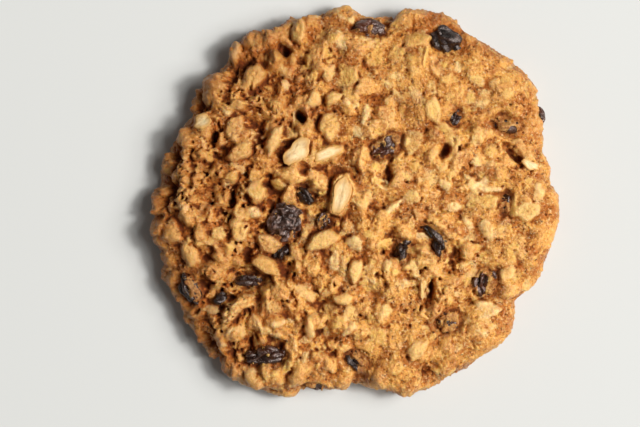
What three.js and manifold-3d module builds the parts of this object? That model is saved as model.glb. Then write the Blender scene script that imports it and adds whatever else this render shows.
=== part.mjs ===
// Oatmeal raisin cookie: one thick, craggy drop cookie, with rolled oats baked into its dough and
// raisins set in its top and rim. Millimetres, +Z up, origin in the middle of the flat underside.
//
// The crust is described by two coordinates: s, which runs from 0 in the middle of the top to 1
// where the rounded rim begins and 2 where the rim meets the underside, and the angle round +Z.

import * as THREE from 'three';
import { mergeVertices } from 'three/addons/utils/BufferGeometryUtils.js';
import Module from 'manifold-3d';

const wasm = await Module();
wasm.setup();

const UP = new THREE.Vector3(0, 0, 1);
const GOLDEN_ANGLE = Math.PI * (3 - Math.sqrt(5));
const radians = THREE.MathUtils.degToRad;

// ---- Driving dimensions ------------------------------------------------------------------------

const COOKIE = {
  height: 14.5, // thickness in the middle
  edgeDrop: 2.6, // how much lower the top is where the rim begins
  rimWidth: 7, // how far the rounded rim reaches in from the outline
  rimMiddle: 5.4, // height of the widest part of the rim
  undercut: radians(50), // how far the rim turns in below its widest part
  buried: 2, // how far the dough goes on below the underside, before that is cut flat
  topCells: 27, // cells across the crust's grid
  rimCells: 5, // rows of cells down the rim
  topShare: 0.57, // the top's share of the area of top and rim
  colour: '#b98046'
};

// The outline's bulges and dents: bearing in degrees from +X towards +Y, and radius.
const OUTLINE = [
  [0, 52.2], [12, 49.4], [33, 55.0], [49, 51.6], [65, 53.6], [72, 52.8], [79, 48.6], [86, 48.6],
  [97, 48.8], [108, 49.0], [120, 50.6], [135, 48.4], [145, 49.0], [153, 48.0], [165, 49.6],
  [188, 52.2], [201, 52.2], [210, 53.2], [217, 52.2], [234, 54.8], [250, 53.0], [258, 50.9],
  [269, 46.8], [278, 50.8], [288, 51.8], [297, 51.1], [314, 52.0], [328, 49.8], [338, 51.2]
];

// The dough's clods: the rounded lumps that it bakes into.
const CLODS = {
  count: 210,
  radius: 6.2, // reach of a clod
  height: 3.2, // height of its middle over the gaps between clods
  spread: 0.35, // how much clods differ in size
  nudge: 5, // how far a clod strays from the even pattern
  meanHeight: 1.9, // how far the gaps lie below the smooth crust
  seed: 11
};

// A rolled oat is a thin oval slab. Its top edge is bevelled and it is sunk in the crust.
const OAT = {
  sides: 7,
  bevel: 0.8, // the top's size as a share of the whole
  thickness: 1.6,
  proud: 1.15, // how far the middle of the slab lies above the smooth crust's
  curl: 0.5 // how far its ends droop
};

// The oats that are spread between the ones that stand out.
const SPREAD_OATS = {
  count: 78,
  length: 7.6,
  width: 4.7,
  spread: 0.18, // how much oats differ in size
  tilt: radians(13),
  reach: 0.86, // share of the crust they cover, from the middle out
  apart: 0.62, // least distance between two oats, as a share of their widths
  seed: 5
};

// The oats that stand out: x and y of the middle, length, width and heading in degrees.
const STANDOUT_OATS = [
  [-15.5, 12.5, 9.0, 5.0, 46], [-7.7, 11.8, 8.0, 3.8, 18], [-4.2, 1.3, 9.6, 4.8, 76],
  [-9.2, -10.5, 9.2, 5.0, 25], [-31.7, 18.7, 7.0, 5.2, 70], [-30.4, 12.5, 8.2, 4.6, 35],
  [-21.6, 15.6, 8.8, 4.0, 68], [-40.0, 20.3, 5.6, 4.6, 20], [-11.5, 26.0, 5.0, 4.0, 62],
  [-6.2, 26.3, 5.0, 3.6, 30], [-7.5, 33.0, 5.0, 3.8, 60], [2.2, 22.1, 6.8, 3.0, 80],
  [-27.0, 31.7, 8.6, 5.6, 58], [44.7, 9.1, 6.2, 3.8, -25], [-0.5, -18.6, 6.8, 4.2, 80],
  [-3.6, -25.7, 5.8, 3.6, 5], [9.1, -2.0, 6.6, 3.6, 40], [0.6, -10.4, 5.4, 4.0, -20],
  [15.5, -38.9, 6.8, 4.8, 45], [-21.2, -31.6, 6.6, 4.0, 0], [-23.6, -17.0, 8.6, 4.6, -30],
  [-48.0, -8.3, 7.4, 4.8, -65], [-43.4, -14.0, 7.6, 4.8, -58], [-37.6, -18.4, 7.6, 5.0, -42],
  [34.8, -7.8, 6.0, 3.4, 80], [-27.8, -46.2, 10.0, 5.0, 14]
];

// A raisin is a wrinkled pebble in a bed of its own, with a hair's gap round it.
const RAISIN = {
  wrinkle: 0.13, // depth of the wrinkles as a share of the raisin's half size
  waves: new THREE.Vector3(4.8, 2.4, 2), // how fast the wrinkles come and go along each axis
  gap: 0.3,
  bedMargin: 1.6, // how far round a raisin the clods are sunk
  bedEdge: 0.7, // where the clods begin to rise again, as a share of that reach
  colour: '#33212b'
};

// The raisins: x and y of the middle, length, width, thickness, heading in degrees, and how far
// its top stands above the smooth crust. A big one has finer facets, and a folded one a bend.
const RAISINS = [
  { at: [-18.8, -5.6], size: [10.6, 9.2, 6.6], heading: 65, proud: 1.5, big: true },
  { at: [-13.6, 1.0], size: [5.8, 3.4, 4.4], heading: -50, proud: 0.6 },
  { at: [-19.8, -13.7], size: [4.4, 3.4, 4.0], heading: 60, proud: 0.1 },
  { at: [3.4, 45.2], size: [9.0, 5.2, 4.8], heading: -8, proud: 0.9 },
  { at: [23.4, 41.6], size: [9.4, 7.2, 5.8], heading: -32, proud: 1.4, big: true },
  { at: [7.2, 13.8], size: [8.8, 5.0, 4.6], heading: 35, proud: 0.8, big: true },
  { at: [39.2, 19.6], size: [8.0, 4.2, 4.2], heading: -12, proud: 0.5 },
  { at: [48.6, 22.7], size: [6.0, 4.4, 4.0], heading: 82, proud: 0.9 },
  { at: [38.5, -0.8], size: [5.0, 3.2, 3.6], heading: 80, proud: 0.2 },
  { at: [19.4, -10.2], size: [11.4, 3.4, 4.2], heading: -55, proud: 0.9, big: true, bend: -125 },
  { at: [11.9, -12.9], size: [6.6, 3.8, 4.2], heading: 75, proud: 0.5 },
  { at: [33.3, -21.3], size: [7.8, 6.2, 5.0], heading: 75, proud: 0.8 },
  { at: [-28.4, -20.9], size: [7.4, 3.2, 4.0], heading: 3, proud: 0.1 },
  { at: [-44.0, -23.4], size: [10.0, 4.8, 4.4], heading: -62, proud: 0.8 },
  { at: [-35.4, -25.6], size: [4.0, 3.2, 3.4], heading: 30, proud: 0.2 },
  { at: [-23.7, -40.3], size: [11.0, 4.6, 4.4], heading: 5, proud: 0.7, big: true },
  { at: [0.2, -42.6], size: [7.2, 5.6, 4.8], heading: -42, proud: 0.2 },
  { at: [-11.2, -49.0], size: [5.2, 3.6, 3.4], heading: -12, proud: 0.7 },
  { at: [-8.6, -5.4], size: [5.6, 3.4, 3.4], heading: 72, proud: 0.3 },
  { at: [23.9, -31.5], size: [6.0, 5.2, 4.2], heading: 40, proud: 0.4 },
  { at: [25.2, 21.3], size: [4.8, 3.0, 3.6], heading: 60, proud: 0.1 }
];

// The deepest cracks between clods: x and y of the middle, length, width, depth and heading.
const CRACKS = [
  [-14.7, 21.4, 4.6, 3.0, 3.2, -40], [18.9, -23.6, 7.0, 2.2, 3.6, 82], [7.9, 6.2, 6.4, 1.9, 2.8, 76],
  [22.5, 12.4, 5.4, 2.1, 2.8, 62], [41.0, 11.8, 7.0, 2.4, 3.4, -52], [-32.2, 0.8, 7.6, 1.8, 2.8, 88],
  [-19.1, 39.0, 5.0, 2.8, 3.0, -50], [-36.8, 16.2, 5.0, 1.9, 2.6, 84]
];

// ---- Helpers -----------------------------------------------------------------------------------

/** A repeatable source of numbers from 0 to 1. */
function seededRandom(seed) {
  let state = seed;
  return () => {
    state = (Math.imul(state, 1664525) + 1013904223) >>> 0;
    return state / 2 ** 32;
  };
}

/** A closed geometry as a solid that can be joined and cut. */
function toSolid(geometry) {
  geometry.deleteAttribute('normal');
  geometry.deleteAttribute('uv');
  const merged = mergeVertices(geometry);
  return new wasm.Manifold(new wasm.Mesh({
    numProp: 3,
    vertProperties: new Float32Array(merged.attributes.position.array),
    triVerts: new Uint32Array(merged.index.array)
  }));
}

/** A joined or cut solid as a geometry. */
function toGeometry(solid) {
  const { vertProperties, triVerts } = solid.getMesh();
  const geometry = new THREE.BufferGeometry();
  geometry.setAttribute('position', new THREE.BufferAttribute(vertProperties, 3));
  geometry.setIndex(new THREE.BufferAttribute(triVerts, 1));
  geometry.computeVertexNormals();
  return geometry;
}

/** Moves every vertex of a geometry to where a function puts it. */
function reshape(geometry, move) {
  const position = geometry.attributes.position;
  const point = new THREE.Vector3();
  for (let i = 0; i < position.count; i++) {
    move(point.fromBufferAttribute(position, i));
    position.setXYZ(i, point.x, point.y, point.z);
  }
  return geometry;
}

// ---- The crust ---------------------------------------------------------------------------------

/** Radius of the outline at an angle, as a wave through the bulges and dents. */
function outlineRadius(angle) {
  const bearing = THREE.MathUtils.euclideanModulo(THREE.MathUtils.radToDeg(angle), 360);
  const round = [...OUTLINE, [360, OUTLINE[0][1]]];
  const next = round.findIndex(([at]) => at > bearing);
  const [fromBearing, fromRadius] = round[next - 1];
  const [toBearing, toRadius] = round[next];
  const share = THREE.MathUtils.smoothstep(bearing, fromBearing, toBearing);
  return THREE.MathUtils.lerp(fromRadius, toRadius, share);
}

/** Point and outward normal of the smooth crust, before its clods. */
function smoothCrust(s, angle) {
  const inner = outlineRadius(angle) - COOKIE.rimWidth;
  const shoulder = COOKIE.height - COOKIE.edgeDrop;
  const slope = Math.atan(2 * COOKIE.edgeDrop * Math.min(s, 1) / inner);
  let radius = inner * s;
  let height = COOKIE.height - COOKIE.edgeDrop * s * s;
  let lean = Math.PI / 2 - slope;
  if (s > 1) {
    const turn = Math.PI / 2 - (s - 1) * (Math.PI / 2 + COOKIE.undercut);
    const foot = (COOKIE.rimMiddle + COOKIE.buried) / Math.sin(COOKIE.undercut);
    const halfHeight = turn > 0 ? shoulder - COOKIE.rimMiddle : foot;
    radius = inner + COOKIE.rimWidth * Math.cos(turn);
    height = COOKIE.rimMiddle + halfHeight * Math.sin(turn);
    lean = Math.min(turn, Math.PI / 2 - slope);
  }
  const outward = new THREE.Vector3(Math.cos(angle), Math.sin(angle), 0);
  return {
    point: outward.clone().multiplyScalar(radius).setZ(height),
    normal: outward.multiplyScalar(Math.cos(lean)).setZ(Math.sin(lean))
  };
}

/** The smooth crust above a point of the plan. */
function crustAbove(x, y) {
  const angle = Math.atan2(y, x);
  const inner = outlineRadius(angle) - COOKIE.rimWidth;
  const radius = Math.hypot(x, y);
  if (radius <= inner) return smoothCrust(radius / inner, angle);
  const turn = Math.acos(Math.min(1, (radius - inner) / COOKIE.rimWidth));
  return smoothCrust(1 + (Math.PI / 2 - turn) / (Math.PI / 2 + COOKIE.undercut), angle);
}

/** The s that leaves a share of the crust's area inside it. */
function crustReach(share) {
  const { topShare } = COOKIE;
  return share < topShare ? Math.sqrt(share / topShare) : 1 + (share - topShare) / (1 - topShare);
}

/** Places along a golden-angle spiral over top and rim, each with an equal share of the crust. */
function spiralPlaces(count, reach) {
  return Array.from({ length: count }, (_, i) => (
    smoothCrust(crustReach(reach * (i + 0.5) / count), i * GOLDEN_ANGLE)
  ));
}

/** Distance in plan from the middle of the nearest raisin, where 1 is a margin outside its edge. */
function reachFromRaisins(point, margin) {
  const reaches = RAISINS.map(({ at, size, heading }) => {
    const away = new THREE.Vector2(point.x - at[0], point.y - at[1]);
    away.rotateAround(new THREE.Vector2(), -radians(heading));
    return Math.hypot(away.x / (size[0] / 2 + margin), away.y / (size[1] / 2 + margin));
  });
  return Math.min(...reaches);
}

/** The clods, as spheres of influence round points that are scattered over the crust. */
function makeClods() {
  const random = seededRandom(CLODS.seed);
  const vary = () => 1 + CLODS.spread * (2 * random() - 1);
  return spiralPlaces(CLODS.count, 1).map(({ point }) => {
    const stray = new THREE.Vector3(random() - 0.5, random() - 0.5, random() - 0.5);
    const centre = point.addScaledVector(stray, CLODS.nudge);
    return { centre, radius: CLODS.radius * vary(), height: CLODS.height * vary() };
  });
}

/** Height of the clods over the smooth crust at a point. They sink towards the raisins' beds. */
function clodHeight(clods, point) {
  let height = 0;
  for (const clod of clods) {
    const away = point.distanceTo(clod.centre) / clod.radius;
    if (away < 1) height = Math.max(height, clod.height * (1 - away * away));
  }
  const reach = reachFromRaisins(point, RAISIN.bedMargin);
  return height * THREE.MathUtils.smoothstep(reach, RAISIN.bedEdge, 1) - CLODS.meanHeight;
}

/** Polar place in the unit disc of a point of the square from -1 to 1, keeping areas even. */
function squareToDisc(x, y) {
  const reach = Math.max(Math.abs(x), Math.abs(y));
  if (reach === 0) return { reach, angle: 0 };
  const eighth = Math.PI / 4;
  const angle = Math.abs(x) >= Math.abs(y)
    ? eighth * y / x + (x < 0 ? Math.PI : 0)
    : Math.PI / 2 - eighth * x / y + (y < 0 ? Math.PI : 0);
  return { reach, angle };
}

/** Turns the diagonal of every other cell of a grid, so that its facets have no grain. */
function weaveDiagonals(grid) {
  const corners = grid.index.array;
  for (let i = 0; i < corners.length; i += 12) {
    const [a, b, d, , c] = corners.slice(i, i + 6);
    corners.set([a, b, c, a, c, d], i);
  }
  return grid;
}

/** The dough: a box whose top becomes the cookie's top and whose sides become its rim. */
function makeDough() {
  const { topCells, rimCells } = COOKIE;
  const clods = makeClods();
  const box = weaveDiagonals(new THREE.BoxGeometry(2, 2, 2, topCells, topCells, rimCells));
  reshape(box, (corner) => {
    const { reach, angle } = squareToDisc(corner.x, corner.y);
    const onSide = reach === 1;
    const underneath = corner.z === -1;
    const s = onSide ? 1 + (1 - corner.z) / 2 : reach;
    const { point, normal } = smoothCrust(underneath ? 2 : s, angle);
    if (underneath) point.multiply(new THREE.Vector3(reach, reach, 1));
    else point.addScaledVector(normal, clodHeight(clods, point));
    corner.copy(point);
  });
  return toSolid(box);
}

/** Lays a geometry on a place of the crust, turned to a heading, tilted and sunk to a depth. */
function layOnCrust(geometry, { point, normal }, { heading, tilt = 0, depth = 0 }) {
  const seat = new THREE.Object3D();
  seat.position.copy(point).addScaledVector(normal, -depth);
  seat.quaternion.setFromUnitVectors(UP, normal);
  seat.rotateZ(heading).rotateX(tilt).rotateY(tilt);
  seat.updateMatrix();
  return geometry.applyMatrix4(seat.matrix);
}

/** What lies below the surface that the cookie rests on. */
function makeGround() {
  const size = 200;
  return toSolid(new THREE.BoxGeometry(size, size, size).translate(0, 0, -size / 2));
}

// ---- Oats, cracks and raisins ------------------------------------------------------------------

/** Where each rolled oat lies: the ones that stand out, then the others between them. */
function oatPlaces() {
  const places = STANDOUT_OATS.map(([x, y, length, width, heading]) => (
    { ...crustAbove(x, y), length, width, heading: radians(heading), tilt: 0 }
  ));
  const random = seededRandom(SPREAD_OATS.seed);
  const swing = () => 2 * random() - 1;
  for (const seat of spiralPlaces(SPREAD_OATS.count, SPREAD_OATS.reach)) {
    const length = SPREAD_OATS.length * (1 + SPREAD_OATS.spread * swing());
    const width = SPREAD_OATS.width * (1 + SPREAD_OATS.spread * swing());
    const place = { ...seat, length, width, heading: Math.PI * random(), tilt: SPREAD_OATS.tilt * swing() };
    const apart = places.every((other) => (
      other.point.distanceTo(seat.point) > SPREAD_OATS.apart * (other.width + width)
    ));
    if (apart && reachFromRaisins(seat.point, width / 2) > 1) places.push(place);
  }
  return places;
}

/** One rolled oat, lying in the crust. */
function makeOat(place) {
  const { length, width, heading, tilt } = place;
  const slab = new THREE.CylinderGeometry(OAT.bevel, 1, OAT.thickness, OAT.sides).rotateX(Math.PI / 2);
  reshape(slab, (point) => {
    point.z -= OAT.curl * point.x * point.x;
    point.multiply(new THREE.Vector3(length / 2, width / 2, 1));
  });
  return toSolid(layOnCrust(slab, place, { heading, tilt, depth: OAT.thickness / 2 - OAT.proud }));
}

/** One crack, as the pointed oval that opens it. */
function makeCrack([x, y, length, width, depth, heading]) {
  const oval = new THREE.SphereGeometry(1, 6, 4).rotateX(Math.PI / 2);
  oval.scale(length / 2, width / 2, depth);
  return toSolid(layOnCrust(oval, crustAbove(x, y), { heading: radians(heading) }));
}

/** Curls a pebble's long axis round by an angle, within its own plane. */
function curlPoint(point, length, bend) {
  const radius = length / bend;
  const turn = point.x / radius;
  const reach = radius - point.y;
  const halfBow = radius * (1 - Math.cos(bend / 2)) / 2;
  point.set(reach * Math.sin(turn), radius - reach * Math.cos(turn) - halfBow, point.z);
}

/** One raisin's solid, grown by a gap. */
function makeRaisin({ at, size, heading, proud, big = false, bend = 0 }, gap = 0) {
  const pebble = new THREE.IcosahedronGeometry(1, big ? 2 : 1);
  const halfSize = new THREE.Vector3(...size).divideScalar(2);
  const phase = at[0] + at[1];
  reshape(pebble, (point) => {
    const wave = point.clone().multiply(RAISIN.waves);
    const swell = 1 + RAISIN.wrinkle * Math.sin(wave.x + phase) * Math.cos(wave.y + wave.z);
    point.multiply(halfSize.clone().multiplyScalar(swell).addScalar(gap));
    if (bend) curlPoint(point, size[0], radians(bend));
  });
  const depth = halfSize.z - proud;
  return toSolid(layOnCrust(pebble, crustAbove(...at), { heading: radians(heading), depth }));
}

/** The bed that a raisin lies in, with the gap round it. */
function makeBed(raisin) {
  return makeRaisin(raisin, RAISIN.gap);
}

/** The dough with its oats, cracks and the raisins' beds, cut flat underneath. */
function makeCookie() {
  const { union } = wasm.Manifold;
  const whole = union([makeDough(), ...oatPlaces().map(makeOat)]);
  const cuts = union([makeGround(), ...CRACKS.map(makeCrack), ...RAISINS.map(makeBed)]);
  // Fusing can leave loose scraps and sealed hollows. The cookie is the largest body.
  const bodies = whole.subtract(cuts).decompose();
  return bodies.reduce((largest, body) => (body.volume() > largest.volume() ? body : largest));
}

// ---- The scene ---------------------------------------------------------------------------------

const bakedDough = new THREE.MeshStandardMaterial({ color: COOKIE.colour, roughness: 0.8, metalness: 0 });
const raisinSkin = new THREE.MeshStandardMaterial({ color: RAISIN.colour, roughness: 0.45, metalness: 0 });

/** A named mesh of a solid. */
function makeMesh(name, solid, material) {
  const mesh = new THREE.Mesh(toGeometry(solid), material);
  mesh.name = name;
  return mesh;
}

const cookie = new THREE.Group();
cookie.name = 'oatmeal_raisin_cookie';
cookie.add(makeMesh('dough_with_oats', makeCookie(), bakedDough));
RAISINS.forEach((raisin, i) => {
  const name = `raisin_${String(i + 1).padStart(2, '0')}`;
  cookie.add(makeMesh(name, makeRaisin(raisin), raisinSkin));
});

// The bounding box of the whole cookie stands centred on the origin.
const middle = new THREE.Box3().setFromObject(cookie).getCenter(new THREE.Vector3());
cookie.position.set(-middle.x, -middle.y, 0);

export default cookie;
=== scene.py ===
"""Dresses a large oatmeal raisin cookie.

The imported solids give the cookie's form: the dough with its broad clods and oats, and the raisins.
This script measures that form, lays a fine crust over it, beds more than a thousand rolled oats in
the crust, sinks its holes, laps it over the wrinkled raisins, and gives each piece a procedural
material. Lengths are in metres, +Z is up, and the cookie lies on z = 0.
"""

import logging
import math
from collections.abc import Callable
from dataclasses import dataclass, field
from enum import Enum

import bmesh
import bpy
import numpy as np
from mathutils import Matrix, Vector, noise
from mathutils.bvhtree import BVHTree
from mathutils.kdtree import KDTree


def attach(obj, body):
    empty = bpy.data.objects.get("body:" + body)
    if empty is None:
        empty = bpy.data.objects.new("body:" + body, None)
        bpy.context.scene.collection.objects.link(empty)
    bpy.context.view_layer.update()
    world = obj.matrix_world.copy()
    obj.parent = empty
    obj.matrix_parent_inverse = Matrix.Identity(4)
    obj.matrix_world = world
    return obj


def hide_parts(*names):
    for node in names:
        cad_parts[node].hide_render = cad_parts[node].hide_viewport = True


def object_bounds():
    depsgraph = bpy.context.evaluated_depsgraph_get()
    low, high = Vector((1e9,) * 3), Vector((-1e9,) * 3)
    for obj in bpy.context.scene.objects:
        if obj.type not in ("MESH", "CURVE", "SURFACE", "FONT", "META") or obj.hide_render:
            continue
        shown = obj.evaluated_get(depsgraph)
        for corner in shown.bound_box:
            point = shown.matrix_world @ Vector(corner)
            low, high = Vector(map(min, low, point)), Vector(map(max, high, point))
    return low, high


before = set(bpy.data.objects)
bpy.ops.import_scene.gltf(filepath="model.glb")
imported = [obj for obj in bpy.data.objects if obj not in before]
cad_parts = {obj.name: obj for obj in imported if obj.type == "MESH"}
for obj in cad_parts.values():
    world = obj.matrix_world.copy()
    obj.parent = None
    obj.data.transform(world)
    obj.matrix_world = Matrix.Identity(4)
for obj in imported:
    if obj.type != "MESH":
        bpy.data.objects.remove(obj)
SOLID_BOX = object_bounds()

LOG = logging.getLogger("cookie")
MM = 0.001
BODY = "root"
DOUGH_NODE = "dough_with_oats"
SAME_PLACE = 0.001 * MM
# The noise of vectors starts from the clock unless it is seeded.
NOISE_SEED = 1
# How far past the solids' box, along x, y and z, the dressed cookie is held in, and how gently.
HOLD_FROM = (0.3 * MM, 0.3 * MM, -0.7 * MM)
HOLD_ROOM = (0.9 * MM, 0.9 * MM, 1.1 * MM)


# ---- Helpers -------------------------------------------------------------------------------------


def smooth_step(low: float, high: float, value: np.ndarray) -> np.ndarray:
    """Eases from 0 at one value to 1 at another.

    Args:
        low: Where the step is 0.
        high: Where the step is 1. It may be the smaller of the two.
        value: The values to ease.

    Returns:
        The eased values, from 0 to 1.
    """
    share = np.clip((value - low) / (high - low), 0, 1)
    return share * share * (3 - 2 * share)


def blur(field_2d: np.ndarray, reach: float) -> np.ndarray:
    """Blurs a square field of heights with a bell curve.

    Args:
        field_2d: The field.
        reach: The bell curve's standard deviation, in cells.

    Returns:
        The blurred field.
    """
    half = max(1, math.ceil(2.5 * reach))
    taps = bell(np.arange(-half, half + 1) / (reach * math.sqrt(2)))
    taps /= taps.sum()
    out = field_2d
    for axis in (0, 1):
        widths = [(half, half) if a == axis else (0, 0) for a in (0, 1)]
        padded = np.pad(out, widths, mode="edge")
        size = out.shape[axis]
        out = sum(t * np.take(padded, range(k, k + size), axis=axis) for k, t in enumerate(taps))
    return out


def oval_reach(
    east: np.ndarray, north: np.ndarray, length: float, width: float, heading: float
) -> np.ndarray:
    """Tells how far out in an oval each place lies.

    Args:
        east: The places' x, from the oval's middle.
        north: Their y.
        length: The oval's length in millimetres.
        width: Its width in millimetres.
        heading: The direction of its length in degrees.

    Returns:
        How far out each place lies: 0 in the middle and 1 on the oval's edge.
    """
    turn = math.radians(heading)
    along = (east * math.cos(turn) + north * math.sin(turn)) / (length * MM / 2)
    across = (north * math.cos(turn) - east * math.sin(turn)) / (width * MM / 2)
    return np.hypot(along, across)


def along_axis(steps: np.ndarray, axis: np.ndarray) -> np.ndarray:
    """Gives the length of each step along an axis."""
    return (steps * axis).sum(axis=-1)


def unit(step: np.ndarray) -> np.ndarray:
    """Gives a step's direction, as a step of length 1."""
    return step / math.hypot(*step)


def bell(away: np.ndarray) -> np.ndarray:
    """Gives a bell curve's height, from 1 in its middle to near 0 two steps away."""
    return np.exp(-(away**2))


def mound(away: np.ndarray, fullness: float) -> np.ndarray:
    """Gives a round mound's height, from 1 in its middle to 0 one step away. A low fullness is blunt."""
    return (1 - np.minimum(away, 1) ** 2) ** fullness


def sample(pattern: Callable[[Vector], float], points: np.ndarray, size: float) -> np.ndarray:
    """Reads a noise pattern at many points.

    Args:
        pattern: The pattern, one unit to a grain.
        points: The points, as an array that ends in x, y and z.
        size: The length of one grain of the pattern.

    Returns:
        The pattern's value at each point.
    """
    flat = (points.reshape(-1, 3) / size).tolist()
    return np.array([pattern(Vector(p)) for p in flat]).reshape(points.shape[:-1])


def billow(place: Vector) -> float:
    """A noise of rounded lumps with sharp creases between them."""
    return 2.2 * abs(noise.noise(place)) - 0.5


def colour(code: str) -> tuple[float, float, float, float]:
    """Turns a colour code into the colour that shaders take.

    Args:
        code: The code, such as #c08040.

    Returns:
        The linear red, green and blue, and 1 for opaque.
    """
    parts = [int(code[i:i + 2], 16) / 255 for i in (1, 3, 5)]
    linear = [p / 12.92 if p <= 0.04045 else ((p + 0.055) / 1.055) ** 2.4 for p in parts]
    return (*linear, 1.0)


def solid_tree(names: list[str]) -> BVHTree:
    """Makes a search tree of the faces of some solids.

    Args:
        names: The solids' node names.

    Returns:
        The tree.
    """
    bm = bmesh.new()
    for name in names:
        bm.from_mesh(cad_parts[name].data)
    bmesh.ops.remove_doubles(bm, verts=bm.verts, dist=SAME_PLACE)
    tree = BVHTree.FromBMesh(bm)
    bm.free()
    return tree


def hold_in(bm: bmesh.types.BMesh) -> None:
    """Presses what stands too far out gently in, so that the dressed cookie keeps the solids' size.

    Args:
        bm: The shape.
    """
    knees = [edge + past for edge, past in zip(SOLID_BOX[1], HOLD_FROM)]
    for vert in bm.verts:
        for axis, (knee, room) in enumerate(zip(knees, HOLD_ROOM)):
            over = abs(vert.co[axis]) - knee
            if over > 0:
                vert.co[axis] = math.copysign(knee + room * (1 - math.exp(-over / room)), vert.co[axis])


def add_piece(name: str, bm: bmesh.types.BMesh, finish: bpy.types.Material) -> bpy.types.Object:
    """Makes a finished piece from a bmesh, and lets it ride on the cookie.

    Args:
        name: The piece's name.
        bm: Its shape, in place. It is freed.
        finish: Its material.

    Returns:
        The piece.
    """
    hold_in(bm)
    mesh = bpy.data.meshes.new(name)
    bm.to_mesh(mesh)
    bm.free()
    mesh.shade_smooth()
    mesh.materials.append(finish)
    piece = bpy.data.objects.new(name, mesh)
    bpy.context.scene.collection.objects.link(piece)
    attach(piece, BODY)
    LOG.info("%s: %d faces", name, len(mesh.polygons))
    return piece


def write_attribute(mesh: bpy.types.Mesh, name: str, values: np.ndarray) -> None:
    """Stores one number for each vertex of a mesh, for its material to read.

    Args:
        mesh: The mesh.
        name: The attribute's name.
        values: The numbers, in the order of the vertices.
    """
    layer = mesh.attributes.new(name, "FLOAT", "POINT")
    layer.data.foreach_set("value", np.asarray(values, np.float32).ravel())


def thin_out(piece: bpy.types.Object, triangles: int) -> None:
    """Merges a piece's smallest faces where its shape needs them least, and keeps its stored numbers.

    Args:
        piece: The piece.
        triangles: How many triangles it may keep.
    """
    thinner = piece.modifiers.new("thinner", "DECIMATE")
    thinner.ratio = triangles / sum(len(face.vertices) - 2 for face in piece.data.polygons)
    with bpy.context.temp_override(object=piece):
        bpy.ops.object.modifier_apply(modifier=thinner.name)
    LOG.info("%s: thinned out to %d faces", piece.name, len(piece.data.polygons))


# ---- Material nodes ------------------------------------------------------------------------------


class Blend(Enum):
    """How one colour is laid over another."""

    OVER = "MIX"
    DARKEN = "MULTIPLY"
    LIGHTEN = "SCREEN"


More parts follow.
